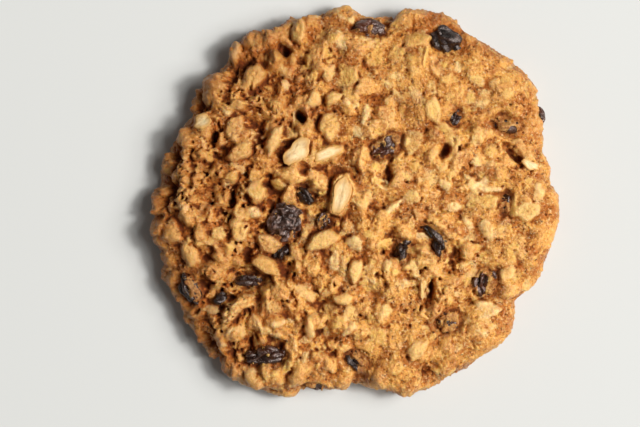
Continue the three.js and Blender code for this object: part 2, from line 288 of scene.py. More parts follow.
class Shader:
    """A material under construction: it adds nodes and joins them up."""

    def __init__(self, name: str) -> None:
        """Starts a material with a Principled surface.

        Args:
            name: The material's name.
        """
        self.material = bpy.data.materials.new(name)
        self.material.use_nodes = True
        self.tree = self.material.node_tree
        self.surface = self.tree.nodes["Principled BSDF"]
        self.place = self.tree.nodes.new("ShaderNodeTexCoord").outputs["Object"]

    def join(self, value: object, socket: bpy.types.NodeSocket) -> None:
        """Feeds a socket.

        Args:
            value: Another node's output, a plain value, or None to leave the socket as it is.
            socket: The socket.
        """
        if isinstance(value, bpy.types.NodeSocket):
            self.tree.links.new(value, socket)
        elif value is not None:
            socket.default_value = value

    def attribute(self, name: str) -> bpy.types.NodeSocket:
        """Reads a number that is stored on the mesh.

        Args:
            name: The attribute's name.

        Returns:
            The number.
        """
        node = self.tree.nodes.new("ShaderNodeAttribute")
        node.attribute_name = name
        return node.outputs["Fac"]

    def grain(
        self, size: float, detail: float = 3, roughness: float = 0.55, shift: float = 0
    ) -> bpy.types.NodeSocket:
        """Adds a soft noise.

        Args:
            size: The length of its grains.
            detail: How many finer noises it holds.
            roughness: How strong the finer ones are.
            shift: Which slice of the noise it is. Noises with other shifts look unrelated.

        Returns:
            The noise, round 0.5.
        """
        node = self.tree.nodes.new("ShaderNodeTexNoise")
        node.noise_dimensions = "4D"
        node.inputs["W"].default_value = shift
        node.inputs["Scale"].default_value = 1 / size
        node.inputs["Detail"].default_value = detail
        node.inputs["Roughness"].default_value = roughness
        self.join(self.place, node.inputs["Vector"])
        return node.outputs["Fac"]

    def remap(
        self, value: bpy.types.NodeSocket, low: float, high: float, at_low: float, at_high: float
    ) -> bpy.types.NodeSocket:
        """Stretches a range of values to another range, and holds it there.

        Args:
            value: The values.
            low: The lower end of their range.
            high: The upper end.
            at_low: What the lower end becomes.
            at_high: What the upper end becomes.

        Returns:
            The stretched values.
        """
        node = self.tree.nodes.new("ShaderNodeMapRange")
        node.interpolation_type = "SMOOTHSTEP"
        self.join(value, node.inputs["Value"])
        for name, number in (("From Min", low), ("From Max", high), ("To Min", at_low), ("To Max", at_high)):
            node.inputs[name].default_value = number
        return node.outputs["Result"]

    def math(self, operation: str, first: object, second: object) -> bpy.types.NodeSocket:
        """Combines two values.

        Args:
            operation: Blender's name for the operation.
            first: The first value.
            second: The second value.

        Returns:
            The combined value.
        """
        node = self.tree.nodes.new("ShaderNodeMath")
        node.operation = operation
        self.join(first, node.inputs[0])
        self.join(second, node.inputs[1])
        return node.outputs["Value"]

    def times(self, first: object, second: object) -> bpy.types.NodeSocket:
        """Multiplies two values."""
        return self.math("MULTIPLY", first, second)

    def mix(
        self, share: object, first: object, second: object, blend: Blend = Blend.OVER
    ) -> bpy.types.NodeSocket:
        """Lays a second colour over a first.

        Args:
            share: How much of the second shows, from 0 to 1.
            first: The first colour.
            second: The second colour.
            blend: How it is laid over.

        Returns:
            The mixed colour.
        """
        node = self.tree.nodes.new("ShaderNodeMix")
        node.data_type = "RGBA"
        node.blend_type = blend.value
        # How one raisin looks: how far the dough covers it, how brown it is, how it is folded, and how grey
        # its fold crests are, partly a painted highlight.
        sockets = {s.identifier: s for s in node.inputs}
        self.join(share, sockets["Factor_Float"])
        self.join(first, sockets["A_Color"])
        self.join(second, sockets["B_Color"])
        return next(s for s in node.outputs if s.identifier == "Result_Color")

    def bump(self, height: bpy.types.NodeSocket, depth: float, under: object = None) -> bpy.types.NodeSocket:
        """Raises fine relief.

        Args:
            height: The relief, from 0 to 1.
            depth: The height of a step from 0 to 1.
            under: The normals of relief that lies below this one, if there is any.

        Returns:
            The normals.
        """
        node = self.tree.nodes.new("ShaderNodeBump")
        node.inputs["Distance"].default_value = depth
        self.join(height, node.inputs["Height"])
        self.join(under, node.inputs["Normal"])
        return node.outputs["Normal"]

    def set_glow(self, weight: float, radius: tuple[float, float, float]) -> None:
        """Lets light spread under the surface.

        Args:
            weight: How much of the light does.
            radius: How far it spreads, for red, green and blue.
        """
        self.surface.inputs["Subsurface Weight"].default_value = weight
        self.surface.inputs["Subsurface Radius"].default_value = radius
        self.surface.inputs["Subsurface Scale"].default_value = 1.0

    def set_gloss(self, level: float, tint: tuple[float, float, float]) -> None:
        """Sets how strongly and in what colour the surface mirrors the light.

        Args:
            level: The strength, where 0.5 is common.
            tint: The colour.
        """
        self.surface.inputs["Specular IOR Level"].default_value = level
        self.surface.inputs["Specular Tint"].default_value = (*tint, 1.0)

    def finish(self, base: object, roughness: object, normal: object) -> bpy.types.Material:
        """Joins up the surface.

        Args:
            base: Its colour.
            roughness: Its roughness.
            normal: Its normals.

        Returns:
            The material.
        """
        self.join(base, self.surface.inputs["Base Color"])
        self.join(roughness, self.surface.inputs["Roughness"])
        self.join(normal, self.surface.inputs["Normal"])
        return self.material


@dataclass(frozen=True)
class DoughFinish:
    """Baked dough: golden brown, browner on the rim, porous and faintly buttery, with painted shade in its
    creases, cracks and pores and a painted highlight on its crests.
    """

    golden: str = "#de9f4d"
    brown: str = "#ae6224"
    browned_and_shaded: str = "#8c4208"
    # These two colours are painted shade for the creases and cracks.
    crease: str = "#94480c"
    crack_shade: str = "#5c1c02"
    coated_oat: str = "#e5ba5f"
    pale_oat: str = "#f5deaa"
    grain: str = "#ecc17a"
    crest_highlight: str = "#eec98c"
    pore_shade: str = "#4c1a00"
    film: str = "#6b3a20"
    glint_speck: str = "#f6dba6"
    dent_shade: str = "#9c5416"

    def build(self) -> bpy.types.Material:
        """Makes the material.

        Returns:
            The material.
        """
        shader = Shader("baked_dough")
        raised, oat = shader.attribute("raised"), shader.attribute("oat")
        # Golden dough with browned patches and pale grains. The paler crests are a painted highlight on the
        # raised lumps.
        patches = shader.math("ADD", shader.grain(6 * MM, 5, 0.7), shader.remap(raised, 0, 1, 0.08, -0.08))
        browned = shader.remap(patches, 0.42, 0.6, 0, 1)
        base = shader.mix(browned, colour(self.golden), colour(self.brown))
        grains = shader.remap(shader.grain(1.1 * MM, 4, 0.6, 3), 0.52, 0.7, 0, 0.4)
        base = shader.mix(grains, base, colour(self.grain))
        base = shader.mix(shader.remap(raised, 0.55, 0.9, 0, 0.25), base, colour(self.crest_highlight))
        # The oats show through where their film of dough is thin.
        tint = shader.mix(shader.attribute("oat_tint"), colour(self.coated_oat), colour(self.pale_oat))
        bared = shader.remap(shader.grain(1.6 * MM, 4, 0.65, 31), 0.34, 0.56, 0.35, 1)
        base = shader.mix(shader.times(bared, oat), base, tint)
        mottle = shader.remap(shader.grain(1.7 * MM, 5, 0.7, 7), 0.42, 0.66, 0, 0.5)
        mottle = shader.times(mottle, shader.remap(oat, 0, 1, 1, 0.35))
        base = shader.mix(mottle, base, colour(self.brown))
        # The finest crumb: pale specks that are partly painted glints, and dark dents that are painted
        # shade, most of all low down and off the oats.
        sparkle = shader.grain(0.65 * MM, 3, 0.65, 29)
        low = shader.remap(raised, 0.3, 0.75, 1, 0.6)
        rough = shader.times(low, shader.remap(oat, 0.1, 0.8, 1, 0.35))
        light = shader.times(rough, shader.remap(sparkle, 0.53, 0.69, 0, 0.6))
        base = shader.mix(light, base, colour(self.glint_speck))
        dark = shader.times(rough, shader.remap(sparkle, 0.47, 0.35, 0, 1))
        base = shader.mix(dark, base, colour(self.dent_shade))
        # The rim is browned, and the same number holds painted shade, darker to the left and towards the
        # back.
        base = shader.mix(shader.attribute("toast_and_shade"), base, colour(self.browned_and_shaded))
        # Painted shade: the creases and cracks are darkened by how deep they lie.
        depth = shader.attribute("cavity")
        base = shader.mix(shader.remap(depth, 0, 0.55, 0, 0.8), base, colour(self.crease))
        base = shader.mix(shader.remap(depth, 0.3, 1, 0, 1), base, colour(self.crack_shade))
        # Painted shade in the pores, and the thin dark film over the raisins.
        shaded_pores = shader.remap(shader.grain(0.65 * MM, 2, 0.5, 13), 0.36, 0.41, 1, 0)
        shaded_pores = shader.times(shaded_pores, shader.remap(browned, 0, 1, 0.3, 1))
        shaded_pores = shader.times(shaded_pores, shader.remap(shader.attribute("film"), 0, 0.4, 1, 0))
        shaded_pores = shader.times(shaded_pores, low)
        shaded_pores = shader.times(shaded_pores, shader.remap(oat, 0.2, 0.8, 1, 0.25))
        base = shader.mix(shader.times(shaded_pores, 0.85), base, colour(self.pore_shade))
        thin = shader.times(shader.attribute("film"), shader.remap(sparkle, 0.35, 0.6, 1, 0.45))
        base = shader.mix(thin, base, colour(self.film))
        shine = shader.remap(shader.grain(1.8 * MM, 3, 0.6, 19), 0.32, 0.68, 0.24, 0.5)
        roughness = shader.math("MAXIMUM", shine, shader.remap(depth, 0.1, 0.5, 0.3, 0.95))
        fine = shader.bump(shader.times(shader.math("SUBTRACT", sparkle, 0.5), low), 0.8 * MM)
        normal = shader.bump(shader.math("SUBTRACT", 1.0, shaded_pores), 0.4 * MM, fine)
        shader.set_glow(0.4, (2.4 * MM, 0.8 * MM, 0.2 * MM))
        shader.set_gloss(0.7, (1.0, 0.74, 0.38))
        return shader.finish(base, roughness, normal)


@dataclass(frozen=True)
class OatFinish:
    """A bare rolled oat: golden to cream, streaked along its grain and browned at its edge."""

    cream: str = "#f6d8a4"
    straw: str = "#e3ab54"
    browned: str = "#cf9440"
    crease: str = "#9a6426"

    def build(self) -> bpy.types.Material:
        """Makes the material.

        Returns:
            The material.
        """
        shader = Shader("rolled_oat")
        base = shader.mix(shader.attribute("oat_tint"), colour(self.straw), colour(self.cream))
        stains = shader.remap(shader.grain(1.5 * MM, 5, 0.7), 0.42, 0.68, 0, 0.45)
        base = shader.mix(stains, base, colour(self.browned))
        base = shader.mix(shader.attribute("oat_streak"), base, colour(self.crease))
        base = shader.mix(shader.attribute("oat_edge"), base, colour(self.browned))
        base = shader.mix(shader.attribute("oat_crease"), base, colour(self.crease))
        roughness = shader.remap(shader.grain(1.5 * MM, 3, 0.6, 5), 0.3, 0.7, 0.4, 0.65)
        normal = shader.bump(shader.grain(0.5 * MM, 5, 0.7, 9), 0.12 * MM)
        shader.set_glow(0.15, (1.4 * MM, 0.8 * MM, 0.4 * MM))
        return shader.finish(base, roughness, normal)


@dataclass(frozen=True)
class RaisinFinish:
    """A raisin's skin: blue-black to plum, greyer on its folds from its waxy coat and a painted highlight,
    with a soft shine.
    """

    dark: str = "#090504"
    plum: str = "#1a0a09"
    brown: str = "#5a2a12"
    bloom_and_highlight: str = "#b08e80"

    def build(self) -> bpy.types.Material:
        """Makes the material.

        Returns:
            The material.
        """
        shader = Shader("raisin_skin")
        patches = shader.remap(shader.grain(3 * MM, 3), 0.35, 0.65, 0, 1)
        base = shader.mix(patches, colour(self.dark), colour(self.plum))
        brown = shader.remap(shader.grain(4 * MM, 2, 0.5, 5), 0.4, 0.6, 0.3, 1)
        base = shader.mix(shader.times(brown, shader.attribute("brown")), base, colour(self.brown))
        # The grey on the fold crests is partly the skin's waxy coat and partly a painted highlight.
        bloom_and_highlight = shader.remap(shader.grain(1.5 * MM, 4, 0.6, 9), 0.42, 0.66, 0.1, 1)
        crest_highlight = shader.times(shader.attribute("fold"), shader.attribute("grey"))
        base = shader.mix(shader.times(crest_highlight, bloom_and_highlight), base, colour(self.bloom_and_highlight))
        roughness = shader.remap(shader.grain(1.2 * MM, 3, 0.6, 13), 0.3, 0.7, 0.12, 0.32)
        normal = shader.bump(shader.grain(0.6 * MM, 4, 0.6, 17), 0.3 * MM)
        shader.set_gloss(0.8, (1.0, 0.84, 0.76))
        return shader.finish(base, roughness, normal)


# ---- The crust -----------------------------------------------------------------------------------


@dataclass
class Guide:
    """The smooth pebble that the crust's heights are measured from.

    A place on it has two coordinates: s runs from 0 in the middle of the top to 1 where the rounded
    rim begins and 2 underneath, and the angle runs round +Z.
    """

    rim_width: float = 7 * MM
    edge_drop: float = 2.6 * MM
    rim_middle: float = 5.4 * MM
    buried: float = 2 * MM
    undercut: float = math.radians(50)
    bearings: int = 90

    def __post_init__(self) -> None:
        """Reads the outline and the height from the dough's solid."""
        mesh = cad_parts[DOUGH_NODE].data
        places = np.zeros(len(mesh.vertices) * 3, np.float32)
        mesh.vertices.foreach_get("co", places)
        x, y, z = places.reshape(-1, 3).T
        bins = ((np.arctan2(y, x) / math.tau) % 1 * self.bearings).astype(int)
        radii = np.zeros(self.bearings)
        np.maximum.at(radii, bins, np.hypot(x, y))
        self.radii = sum(np.roll(radii, k) for k in (-1, 0, 1)) / 3
        self.height = float(np.percentile(z, 97))

    def outline(self, angle: np.ndarray) -> np.ndarray:
        """Gives the outline's smoothed radius at each angle."""
        bearing = (np.arange(self.bearings) + 0.5) * math.tau / self.bearings
        return np.interp(angle, bearing, self.radii, period=math.tau)

    def lay(self, s: np.ndarray, angle: np.ndarray) -> tuple[np.ndarray, np.ndarray]:
        """Finds places on the guide.

        Args:
            s: How far out each place is.
            angle: Its angle round +Z.

        Returns:
            The places, and the directions that face outwards there.
        """
        inner = self.outline(angle) - self.rim_width
        shoulder = self.height - self.edge_drop
        top = np.minimum(s, 1)
        slope = np.arctan(2 * self.edge_drop * top / inner)
        turn = math.pi / 2 - np.maximum(s - 1, 0) * (math.pi / 2 + self.undercut)
        foot = (self.rim_middle + self.buried) / math.sin(self.undercut)
        half_height = np.where(turn > 0, shoulder - self.rim_middle, foot)
        on_top = s <= 1
        radius = np.where(on_top, inner * s, inner + self.rim_width * np.cos(turn))
        crown = self.height - self.edge_drop * top**2
        height = np.where(on_top, crown, self.rim_middle + half_height * np.sin(turn))
        lean = np.minimum(turn, math.pi / 2 - slope)
        east, north = np.cos(angle), np.sin(angle)
        places = np.stack([radius * east, radius * north, height], axis=-1)
        outward = np.stack([np.cos(lean) * east, np.cos(lean) * north, np.sin(lean)], axis=-1)
        return places, outward


@dataclass
class Flake:
    """One rolled oat lying in or on the crust."""

    middle: np.ndarray
    along: np.ndarray
    across: np.ndarray
    up: np.ndarray
    length: float
    width: float
    tint: float
    seed: float


@dataclass(frozen=True)
class Bumps:
    """A kind of small round bump: how many, their smallest and largest radius, their rise by radius."""

    count: int
    small: float
    large: float
    rise: float


@dataclass
class Crust:
    """The baked crust: a fine sheet over the solid's form, as heights over the guide.

    Its grid is a square that is laid over the cookie from the middle of the top, over the rim, to
    the edge of the underside. Every field of values on it has one entry for each crossing.
    """

    raisins: "Raisins"
    cells: int = 400
    cells_span: float = 104
    top_share: float = 0.62
    cast_from: float = 5 * MM
    cast_reach: float = 14 * MM
    bed_gap: float = 0.5 * MM
    floor_drop: float = 0.35 * MM
    side_swell: float = 0.65 * MM
    foot: float = 1.6 * MM
    least_facing: float = 0.3
    trench_depth: float = 0.26 * MM
    lap_depth: float = 0.22 * MM
    hole_share: float = 0.78
    under_rings: tuple[float, ...] = (0.93, 0.82, 0.7, 0.56, 0.42, 0.28, 0.14)
    under_lift: float = 0.12 * MM
    under_waves: float = 0.1 * MM
    under_wave_size: float = 6 * MM
    seed: int = 2
    triangles: int = 197000
    guide: Guide = field(default_factory=Guide)
    # The size and the depth of the lumps that lie under the oats, and of those that lie over them.
    clods: tuple[tuple[float, float], ...] = ((7.0 * MM, 0.62 * MM), (3.6 * MM, 0.4 * MM))
    crumb: tuple[tuple[float, float], ...] = (
        (1.7 * MM, 0.26 * MM), (0.9 * MM, 0.22 * MM), (0.55 * MM, 0.16 * MM)
    )
    # How much of the crumb shows on the oats, and the blur in millimetres that rounds the oats first.
    crumb_on_oats: float = 0.3
    oat_blur: float = 0.24
    grains: Bumps = Bumps(7000, 0.3 * MM, 0.9 * MM, 0.42)
    pores: Bumps = Bumps(5000, 0.3 * MM, 0.65 * MM, -1.0)
    # The holes and deep cracks: x and y of the middle, length, width and depth in millimetres, heading
    # in degrees.
    holes: tuple[tuple[float, ...], ...] = (
        (-14.6, 22.0, 5.0, 2.4, 1.7, -40), (-7.0, 37.2, 2.6, 2.0, 1.8, 0), (-14.3, 36.0, 2.0, 1.8, 1.6, 0),
        (-13.7, 28.1, 3.0, 2.0, 1.8, 20), (-27.3, 27.7, 3.0, 2.2, 2.4, 10),
        (-19.0, 39.4, 4.6, 2.6, 2.0, -50), (-32.7, 31.5, 4.2, 2.6, 2.4, 70),
        (-26.0, 16.1, 3.2, 2.4, 2.6, 60), (-31.6, 1.6, 8.4, 2.6, 2.4, 82), (-37.2, 17.0, 7.5, 2.4, 2.4, 80),
        (-43.2, 6.3, 9.0, 2.8, 2.6, 76), (19.0, -23.8, 8.0, 3.4, 2.6, 84), (8.0, 6.9, 6.8, 2.0, 2.0, 78),
        (22.6, 12.5, 5.2, 2.0, 1.8, 66), (26.5, 6.1, 4.4, 1.8, 1.6, 60), (40.3, 11.7, 7.2, 2.4, 2.2, -52),
        (28.7, 18.5, 5.4, 2.2, 1.3, -60), (12.6, -28.3, 2.4, 1.4, 1.6, 0), (0.8, -29.7, 2.0, 1.2, 1.4, 0),
        (17.4, -45.3, 3.8, 2.2, 2.0, 80), (-34.0, 26.9, 2.6, 2.4, 2.2, 0), (21.1, -1.0, 5.5, 2.2, 1.4, 70),
        (13.0, -3.6, 4.0, 2.0, 1.4, 60), (25.0, -14.0, 6.5, 2.2, 1.8, 92), (23.4, -17.7, 3.5, 2.0, 1.4, 10),
        (8.8, -13.8, 4.0, 3.0, 1.8, 0), (14.0, -19.8, 3.0, 1.6, 1.5, -10), (3.9, -1.3, 5.0, 2.2, 1.2, 75),
        (-28.6, -14.3, 7.0, 2.4, 2.2, 75), (-17.9, -22.1, 8.0, 2.0, 2.0, -75),
        (-32.5, -25.2, 4.5, 3.0, 2.0, 0), (-39.5, -22.1, 7.0, 2.2, 2.0, 70),
        (-31.2, -30.4, 3.4, 2.2, 2.0, 60), (-35.4, -30.7, 5.0, 1.6, 1.8, 35),
        (-28.3, -39.0, 6.0, 2.6, 2.2, 80), (-32.2, -39.5, 6.0, 2.4, 2.2, -60),
        (-9.9, -30.7, 10.0, 1.6, 1.4, 85), (-7.5, -21.8, 2.0, 1.4, 1.4, 0),
        (7.3, -22.1, 4.0, 1.8, 1.6, -50), (-6.2, -40.0, 2.2, 1.8, 2.0, 80),
        (-28.3, 35.6, 2.6, 1.8, 1.8, 40), (-16.4, 19.1, 1.8, 1.6, 1.8, 0),
        (-23.5, 24.7, 3.6, 1.8, 2.0, -45), (-27.7, 8.6, 1.4, 1.2, 1.6, 0), (-35.8, 11.6, 1.8, 1.6, 1.8, 0),
        (-22.9, 6.8, 1.4, 1.2, 1.6, 0), (-47.1, 11.0, 5.0, 2.8, 2.2, 80), (-47.6, 1.6, 4.0, 3.0, 2.4, 60),
        (-34.0, -2.0, 5.0, 2.2, 2.0, 20), (-24.9, -3.8, 5.8, 2.4, 2.2, 80), (9.4, -14.4, 2.8, 2.2, 1.6, 30),
    )

    # Where the dough laps over the raisins (or, below 0, lays them bare): x and y of the middle, length
    # and width in millimetres, heading in degrees, strength.
    laps: tuple[tuple[float, ...], ...] = (
        (17.2, -12.6, 7.4, 3.8, 88, 2.0), (23.6, -10.2, 9.0, 2.6, -78, 1.6),
        (17.6, -7.3, 6.0, 1.5, 4, -1.2), (34.3, -20.0, 8.0, 1.2, 80, 1.0),
        (48.9, 21.9, 8.0, 5.0, -75, -1.8), (-41.3, -22.0, 9.0, 3.2, -67, 1.2),
        (37.8, 19.4, 3.6, 3.6, 0, 0.7), (41.0, 18.2, 3.4, 2.6, 0, -0.5), (32.4, -22.0, 6.0, 2.0, 78, -0.9),
        (35.6, -19.6, 5.0, 0.9, -70, -0.8), (22.0, -33.2, 3.2, 2.6, 40, 0.6),
        (23.5, 37.2, 10.0, 2.6, 5, 0.8), (17.5, 41.0, 2.6, 5.0, 10, 0.7), (3.4, 46.2, 3.4, 6.0, 0, 0.5),
    )

    # The lumps: x and y of the middle, radius and rise in millimetres, how yellow and how pale they are.
    lumps: tuple[tuple[float, ...], ...] = (
        (16.9, -11.8, 2.8, 1.5, 0.2, 0.2), (-35.8, -8.4, 2.1, 1.5, 0.9, 0.3),
        (-32.5, -12.6, 1.6, 1.0, 0.9, 0.1), (-46.4, 5.5, 2.2, 1.2, 0.1, 0.2),
        (-44.6, -5.0, 3.0, 1.2, 0.2, 0.2), (-26.2, -3.0, 1.9, 1.3, 0.9, 0.7),
        (-36.4, -38.2, 3.2, 2.2, 0.1, 0.3), (-31.4, -5.0, 2.2, 1.0, 0.4, 0.5),
        (-36.3, 6.4, 3.6, 1.3, 0.1, 0.1), (19.3, -14.8, 4.2, 1.0, 0.15, 0.3),
        (46.6, 21.4, 4.6, 1.2, 0.1, 0.2), (-39.9, 11.6, 2.0, 1.2, 0.2, 0.1),
        (-44.0, 1.0, 2.6, 1.2, 0.2, 0.2), (-27.0, 4.0, 1.8, 0.8, 0.6, 0.6),
        (-50.5, -5.4, 4.6, 2.6, 0.1, 0.2), (-47.0, -21.5, 5.0, 2.0, 0.1, 0.1),
        (-37.5, -37.0, 4.6, 2.0, 0.1, 0.2), (-38.8, -33.6, 3.2, 1.7, 0.1, 0.1),
        (-41.4, -29.4, 2.8, 1.3, 0.2, 0.3), (-52.0, 0.5, 4.4, -1.6, 0.0, 0.0),
        (-44.0, 25.5, 5.0, -1.6, 0.0, 0.0), (-37.0, -43.0, 6.5, -1.7, 0.0, 0.0),
        (-23.0, 48.5, 5.0, -2.2, 0.0, 0.0),
    )

    def __post_init__(self) -> None:
        """Lays the grid over the cookie and measures the solid's form."""
        self.random = np.random.default_rng(self.seed)
        self.beds = solid_tree([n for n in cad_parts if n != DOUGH_NODE])
        self.bm = bmesh.new()
        bmesh.ops.create_grid(self.bm, x_segments=self.cells, y_segments=self.cells, size=1)
        square = np.array([v.co[:2] for v in self.bm.verts])
        count = self.cells + 1
        self.share, angle = self.to_disc(square.reshape(count, count, 2))
        self.start, self.outward = self.guide.lay(self.to_s(self.share), angle)
        side = smooth_step(0.5, 0.75, self.share)
        right = smooth_step(-36 * MM, 18 * MM, self.start[..., 0])
        self.bold = (1.68 - 1.28 * right) * (1 - (0.35 + 0.15 * right) * side)
        self.height = self.mend_beds(self.measure())
        self.height = self.sharpen(self.blur_mm(self.height, 0.45))
        self.height = self.height - self.floor_drop + self.side_swell * side
        self.base = self.surface()
        self.normals = self.facing(self.blur_mm(self.height, 1.1))
        self.oat = np.zeros((count, count))
        self.ring = np.zeros((count, count))
        self.tint = np.zeros((count, count))
        self.index = KDTree(count * count)
        for i, place in enumerate(self.base.reshape(-1, 3)):
            self.index.insert(place, i)
        self.index.balance()

    @staticmethod
    def to_disc(square: np.ndarray) -> tuple[np.ndarray, np.ndarray]:
        """Maps a square to a disc and keeps areas even.

        Args:
            square: Points of the square from -1 to 1.

        Returns:
            The share of the disc's area inside each point's circle, and its angle.
        """
        x, y = square[..., 0], square[..., 1]
        reach = np.maximum(np.abs(x), np.abs(y))
        wide = np.abs(x) >= np.abs(y)
        with np.errstate(divide="ignore", invalid="ignore"):
            flat = math.pi / 4 * y / x + np.where(x < 0, math.pi, 0)
            steep = math.pi / 2 - math.pi / 4 * x / y + np.where(y < 0, math.pi, 0)
        return reach**2, np.where(reach == 0, 0, np.where(wide, flat, steep))

    def to_s(self, share: np.ndarray) -> np.ndarray:
        """Turns shares of the crust's area into the guide's s."""
        split = self.top_share
        return np.where(share < split, np.sqrt(share / split), 1 + (share - split) / (1 - split))

    def surface(self) -> np.ndarray:
        """Gives the crust's places at its present height."""
        return self.start + self.outward * self.height[..., None]

    def facing(self, height: np.ndarray) -> np.ndarray:
        """Gives the outward normals of a surface over the guide.

        Args:
            height: The surface's height at each crossing.

        Returns:
            The normals.
        """
        places = self.start + self.outward * height[..., None]
        normals = np.cross(np.gradient(places, axis=1), np.gradient(places, axis=0))
        normals /= np.linalg.norm(normals, axis=-1, keepdims=True) + 1e-12
        flip = np.sign((normals * self.outward).sum(-1, keepdims=True))
        return normals * np.where(flip == 0, 1, flip)

    def measure(self) -> np.ndarray:
        """Casts a ray inwards at each crossing, to measure the solid.

        Returns:
            The solid's height over the guide. A miss is not a number.
        """
        tree = solid_tree([DOUGH_NODE])
        heights = np.zeros(self.start.shape[:2])
        starts = self.start + self.outward * self.cast_from
        for (i, j) in np.ndindex(heights.shape):
            inwards = Vector(-self.outward[i, j])
            hit, _, _, distance = tree.ray_cast(Vector(starts[i, j]), inwards, self.cast_reach)
            heights[i, j] = self.cast_from - distance if hit else np.nan
        return heights

    def mend_beds(self, height: np.ndarray) -> np.ndarray:
        """Closes the raisins' beds, so that the dough meets each raisin where its surface would pass.

        Args:
            height: The measured heights. A miss is not a number.

        Returns:
            The heights without the beds.
        """
        places = self.start + self.outward * np.nan_to_num(height)[..., None]
        near = [self.beds.find_nearest(Vector(p), self.bed_gap)[0] for p in places.reshape(-1, 3)]
        hole = np.array([n is not None for n in near]).reshape(height.shape) | np.isnan(height)
        out = np.where(hole, np.median(height[~hole]), height)
        for _ in range(400):
            padded = np.pad(out, 1, mode="edge")
            mean = (padded[2:, 1:-1] + padded[:-2, 1:-1] + padded[1:-1, 2:] + padded[1:-1, :-2]) / 4
            out = np.where(hole, mean, out)
        return out

    def blur_mm(self, values: np.ndarray, reach: float) -> np.ndarray:
        """Blurs a field of values over a reach in millimetres."""
        return blur(values, reach * self.cells / self.cells_span)

    def sharpen(self, height: np.ndarray) -> np.ndarray:
        """Deepens the creases between clods and rounds up their tops."""
        return height + (1.3 * self.bold - 0.4) * (height - self.blur_mm(height, 2.8))

    def place_at(self, x: float, y: float) -> int:
        """Finds the crossing on the top that is nearest to a point of the plan.

        Args:
            x: The point's x.
            y: Its y.

        Returns:
            The crossing's number.
        """
        flat = self.base.reshape(-1, 3)
        away = np.hypot(flat[:, 0] - x, flat[:, 1] - y) + np.where(self.share.ravel() > 0.9, 1.0, 0.0)
        return int(np.argmin(away))

    def near(self, middle: np.ndarray, radius: float) -> np.ndarray:
        """Lists the crossings within a radius of a point."""
        found = self.index.find_range(Vector(middle), radius)
        return np.array([i for _, i, _ in found], int)

    def make_flake(
        self,
        spot: int,
        length: float,
        width: float,
        heading: float,
        lift: float,
        lean: np.ndarray,
        tint: float,
        seed: float,
    ) -> Flake:
        """Lays a rolled oat on the crust.

        Args:
            spot: The crossing under its middle.
            length: Its length.
            width: Its width.
            heading: The direction of its long axis, as an angle round +Z.
            lift: How far its top lies above the crust.
            lean: How far its plane leans out of the crust's, as a step of its upright end.
            tint: How pale it is, from 0 to 1.
            seed: What makes its edge unlike the others'.

        Returns:
            The oat.
        """
        up = unit(self.normals.reshape(-1, 3)[spot] + lean)
        along = np.array([math.cos(heading), math.sin(heading), 0.0])
        along = unit(along - up * along_axis(along, up))
        middle = self.base.reshape(-1, 3)[spot] + up * lift
        return Flake(middle, along, np.cross(up, along), up, length, width, tint, seed)

    def over_flake(self, flake: Flake, spots: np.ndarray) -> tuple[np.ndarray, ...]:
        """Measures crossings against the plane of a rolled oat.

        Args:
            flake: The oat.
            spots: The crossings.

        Returns:
            For each crossing, the plane's height over the guide, how squarely the guide faces it, the
            step from the oat's middle to there, and how far along and across the oat that is, where 1
            is its edge.
        """
        start = self.start.reshape(-1, 3)[spots]
        outward = self.outward.reshape(-1, 3)[spots]
        facing = np.maximum(along_axis(outward, flake.up), self.least_facing)
        plane = along_axis(flake.middle - start, flake.up) / facing
        away = start + outward * plane[:, None] - flake.middle
        x = along_axis(away, flake.along) / (flake.length / 2)
        y = along_axis(away, flake.across) / (flake.width / 2)
        return plane, facing, away, x, y

    def press(
        self, flake: Flake, cover: float, dome: float, crease: float, soft: float = 0.3, collar: float = 0.0
    ) -> None:
        """Beds a rolled oat in the crust: its rounded top shows through the dough.

        Args:
            flake: The oat.
            cover: How clearly its colour shows through the dough, from 0 to 1.
            dome: How far its edge lies below its middle.
            crease: Depth of the crease along its middle.
            soft: The width of its rounded edge, as a share of its own size.
            collar: How high the dough laps over its edge.
        """
        spots = self.near(flake.middle, flake.length * 0.75)
        if not len(spots):
            return
        plane, facing, away, x, y = self.over_flake(flake, spots)
        height = self.height.ravel()[spots]
        around = np.arctan2(y, x)
        ragged = 1 + 0.09 * np.sin(3 * around + flake.seed) + 0.06 * np.sin(5 * around + 2 * flake.seed)
        reach = np.hypot(x, y) * ragged
        rounded = 1 - np.sqrt(np.clip(1 - reach**2, 0, 1))
        sink = dome * (0.6 * reach**2 + 0.4 * rounded)
        sink += crease * bell(y / 0.2) * smooth_step(0.95, 0.4, reach)
        top = plane - sink / facing
        inside = smooth_step(1 + soft / 2, 1 - soft, reach)
        trench = bell((reach - 1.1) / 0.12) * np.clip((top - height) / (0.4 * MM) + 0.5, 0, 1)
        raised = np.where(top > height, height + (top - height) * inside, height)
        if collar:
            lumpy = 2.2 * sample(noise.noise, away + flake.seed, 3.2 * MM)
            bank = plane + collar * np.clip(lumpy, -0.5, 1)
            shore = bell((reach - 1.15) / 0.22)
            raised += np.maximum(bank - raised, 0) * shore
        self.height.ravel()[spots] = raised - self.trench_depth * trench
        ring, oat, tint = self.ring.ravel(), self.oat.ravel(), self.tint.ravel()
        # The ring marks the trench round the oat, which the material darkens with painted shade.
        ring[spots] = np.maximum(ring[spots] * (1 - inside), trench)
        shows = smooth_step(1.05, 0.8, reach) * smooth_step(-0.25 * MM, 0.05 * MM, top - height)
        oat[spots] = oat[spots] * (1 - shows) + cover * shows
        # The oat turns paler towards its edge, partly as a painted highlight.
        pale = np.clip(0.7 * flake.tint + 0.3 * smooth_step(0.45, 0.95, reach), 0, 1)
        tint[spots] = tint[spots] * (1 - shows) + pale * shows

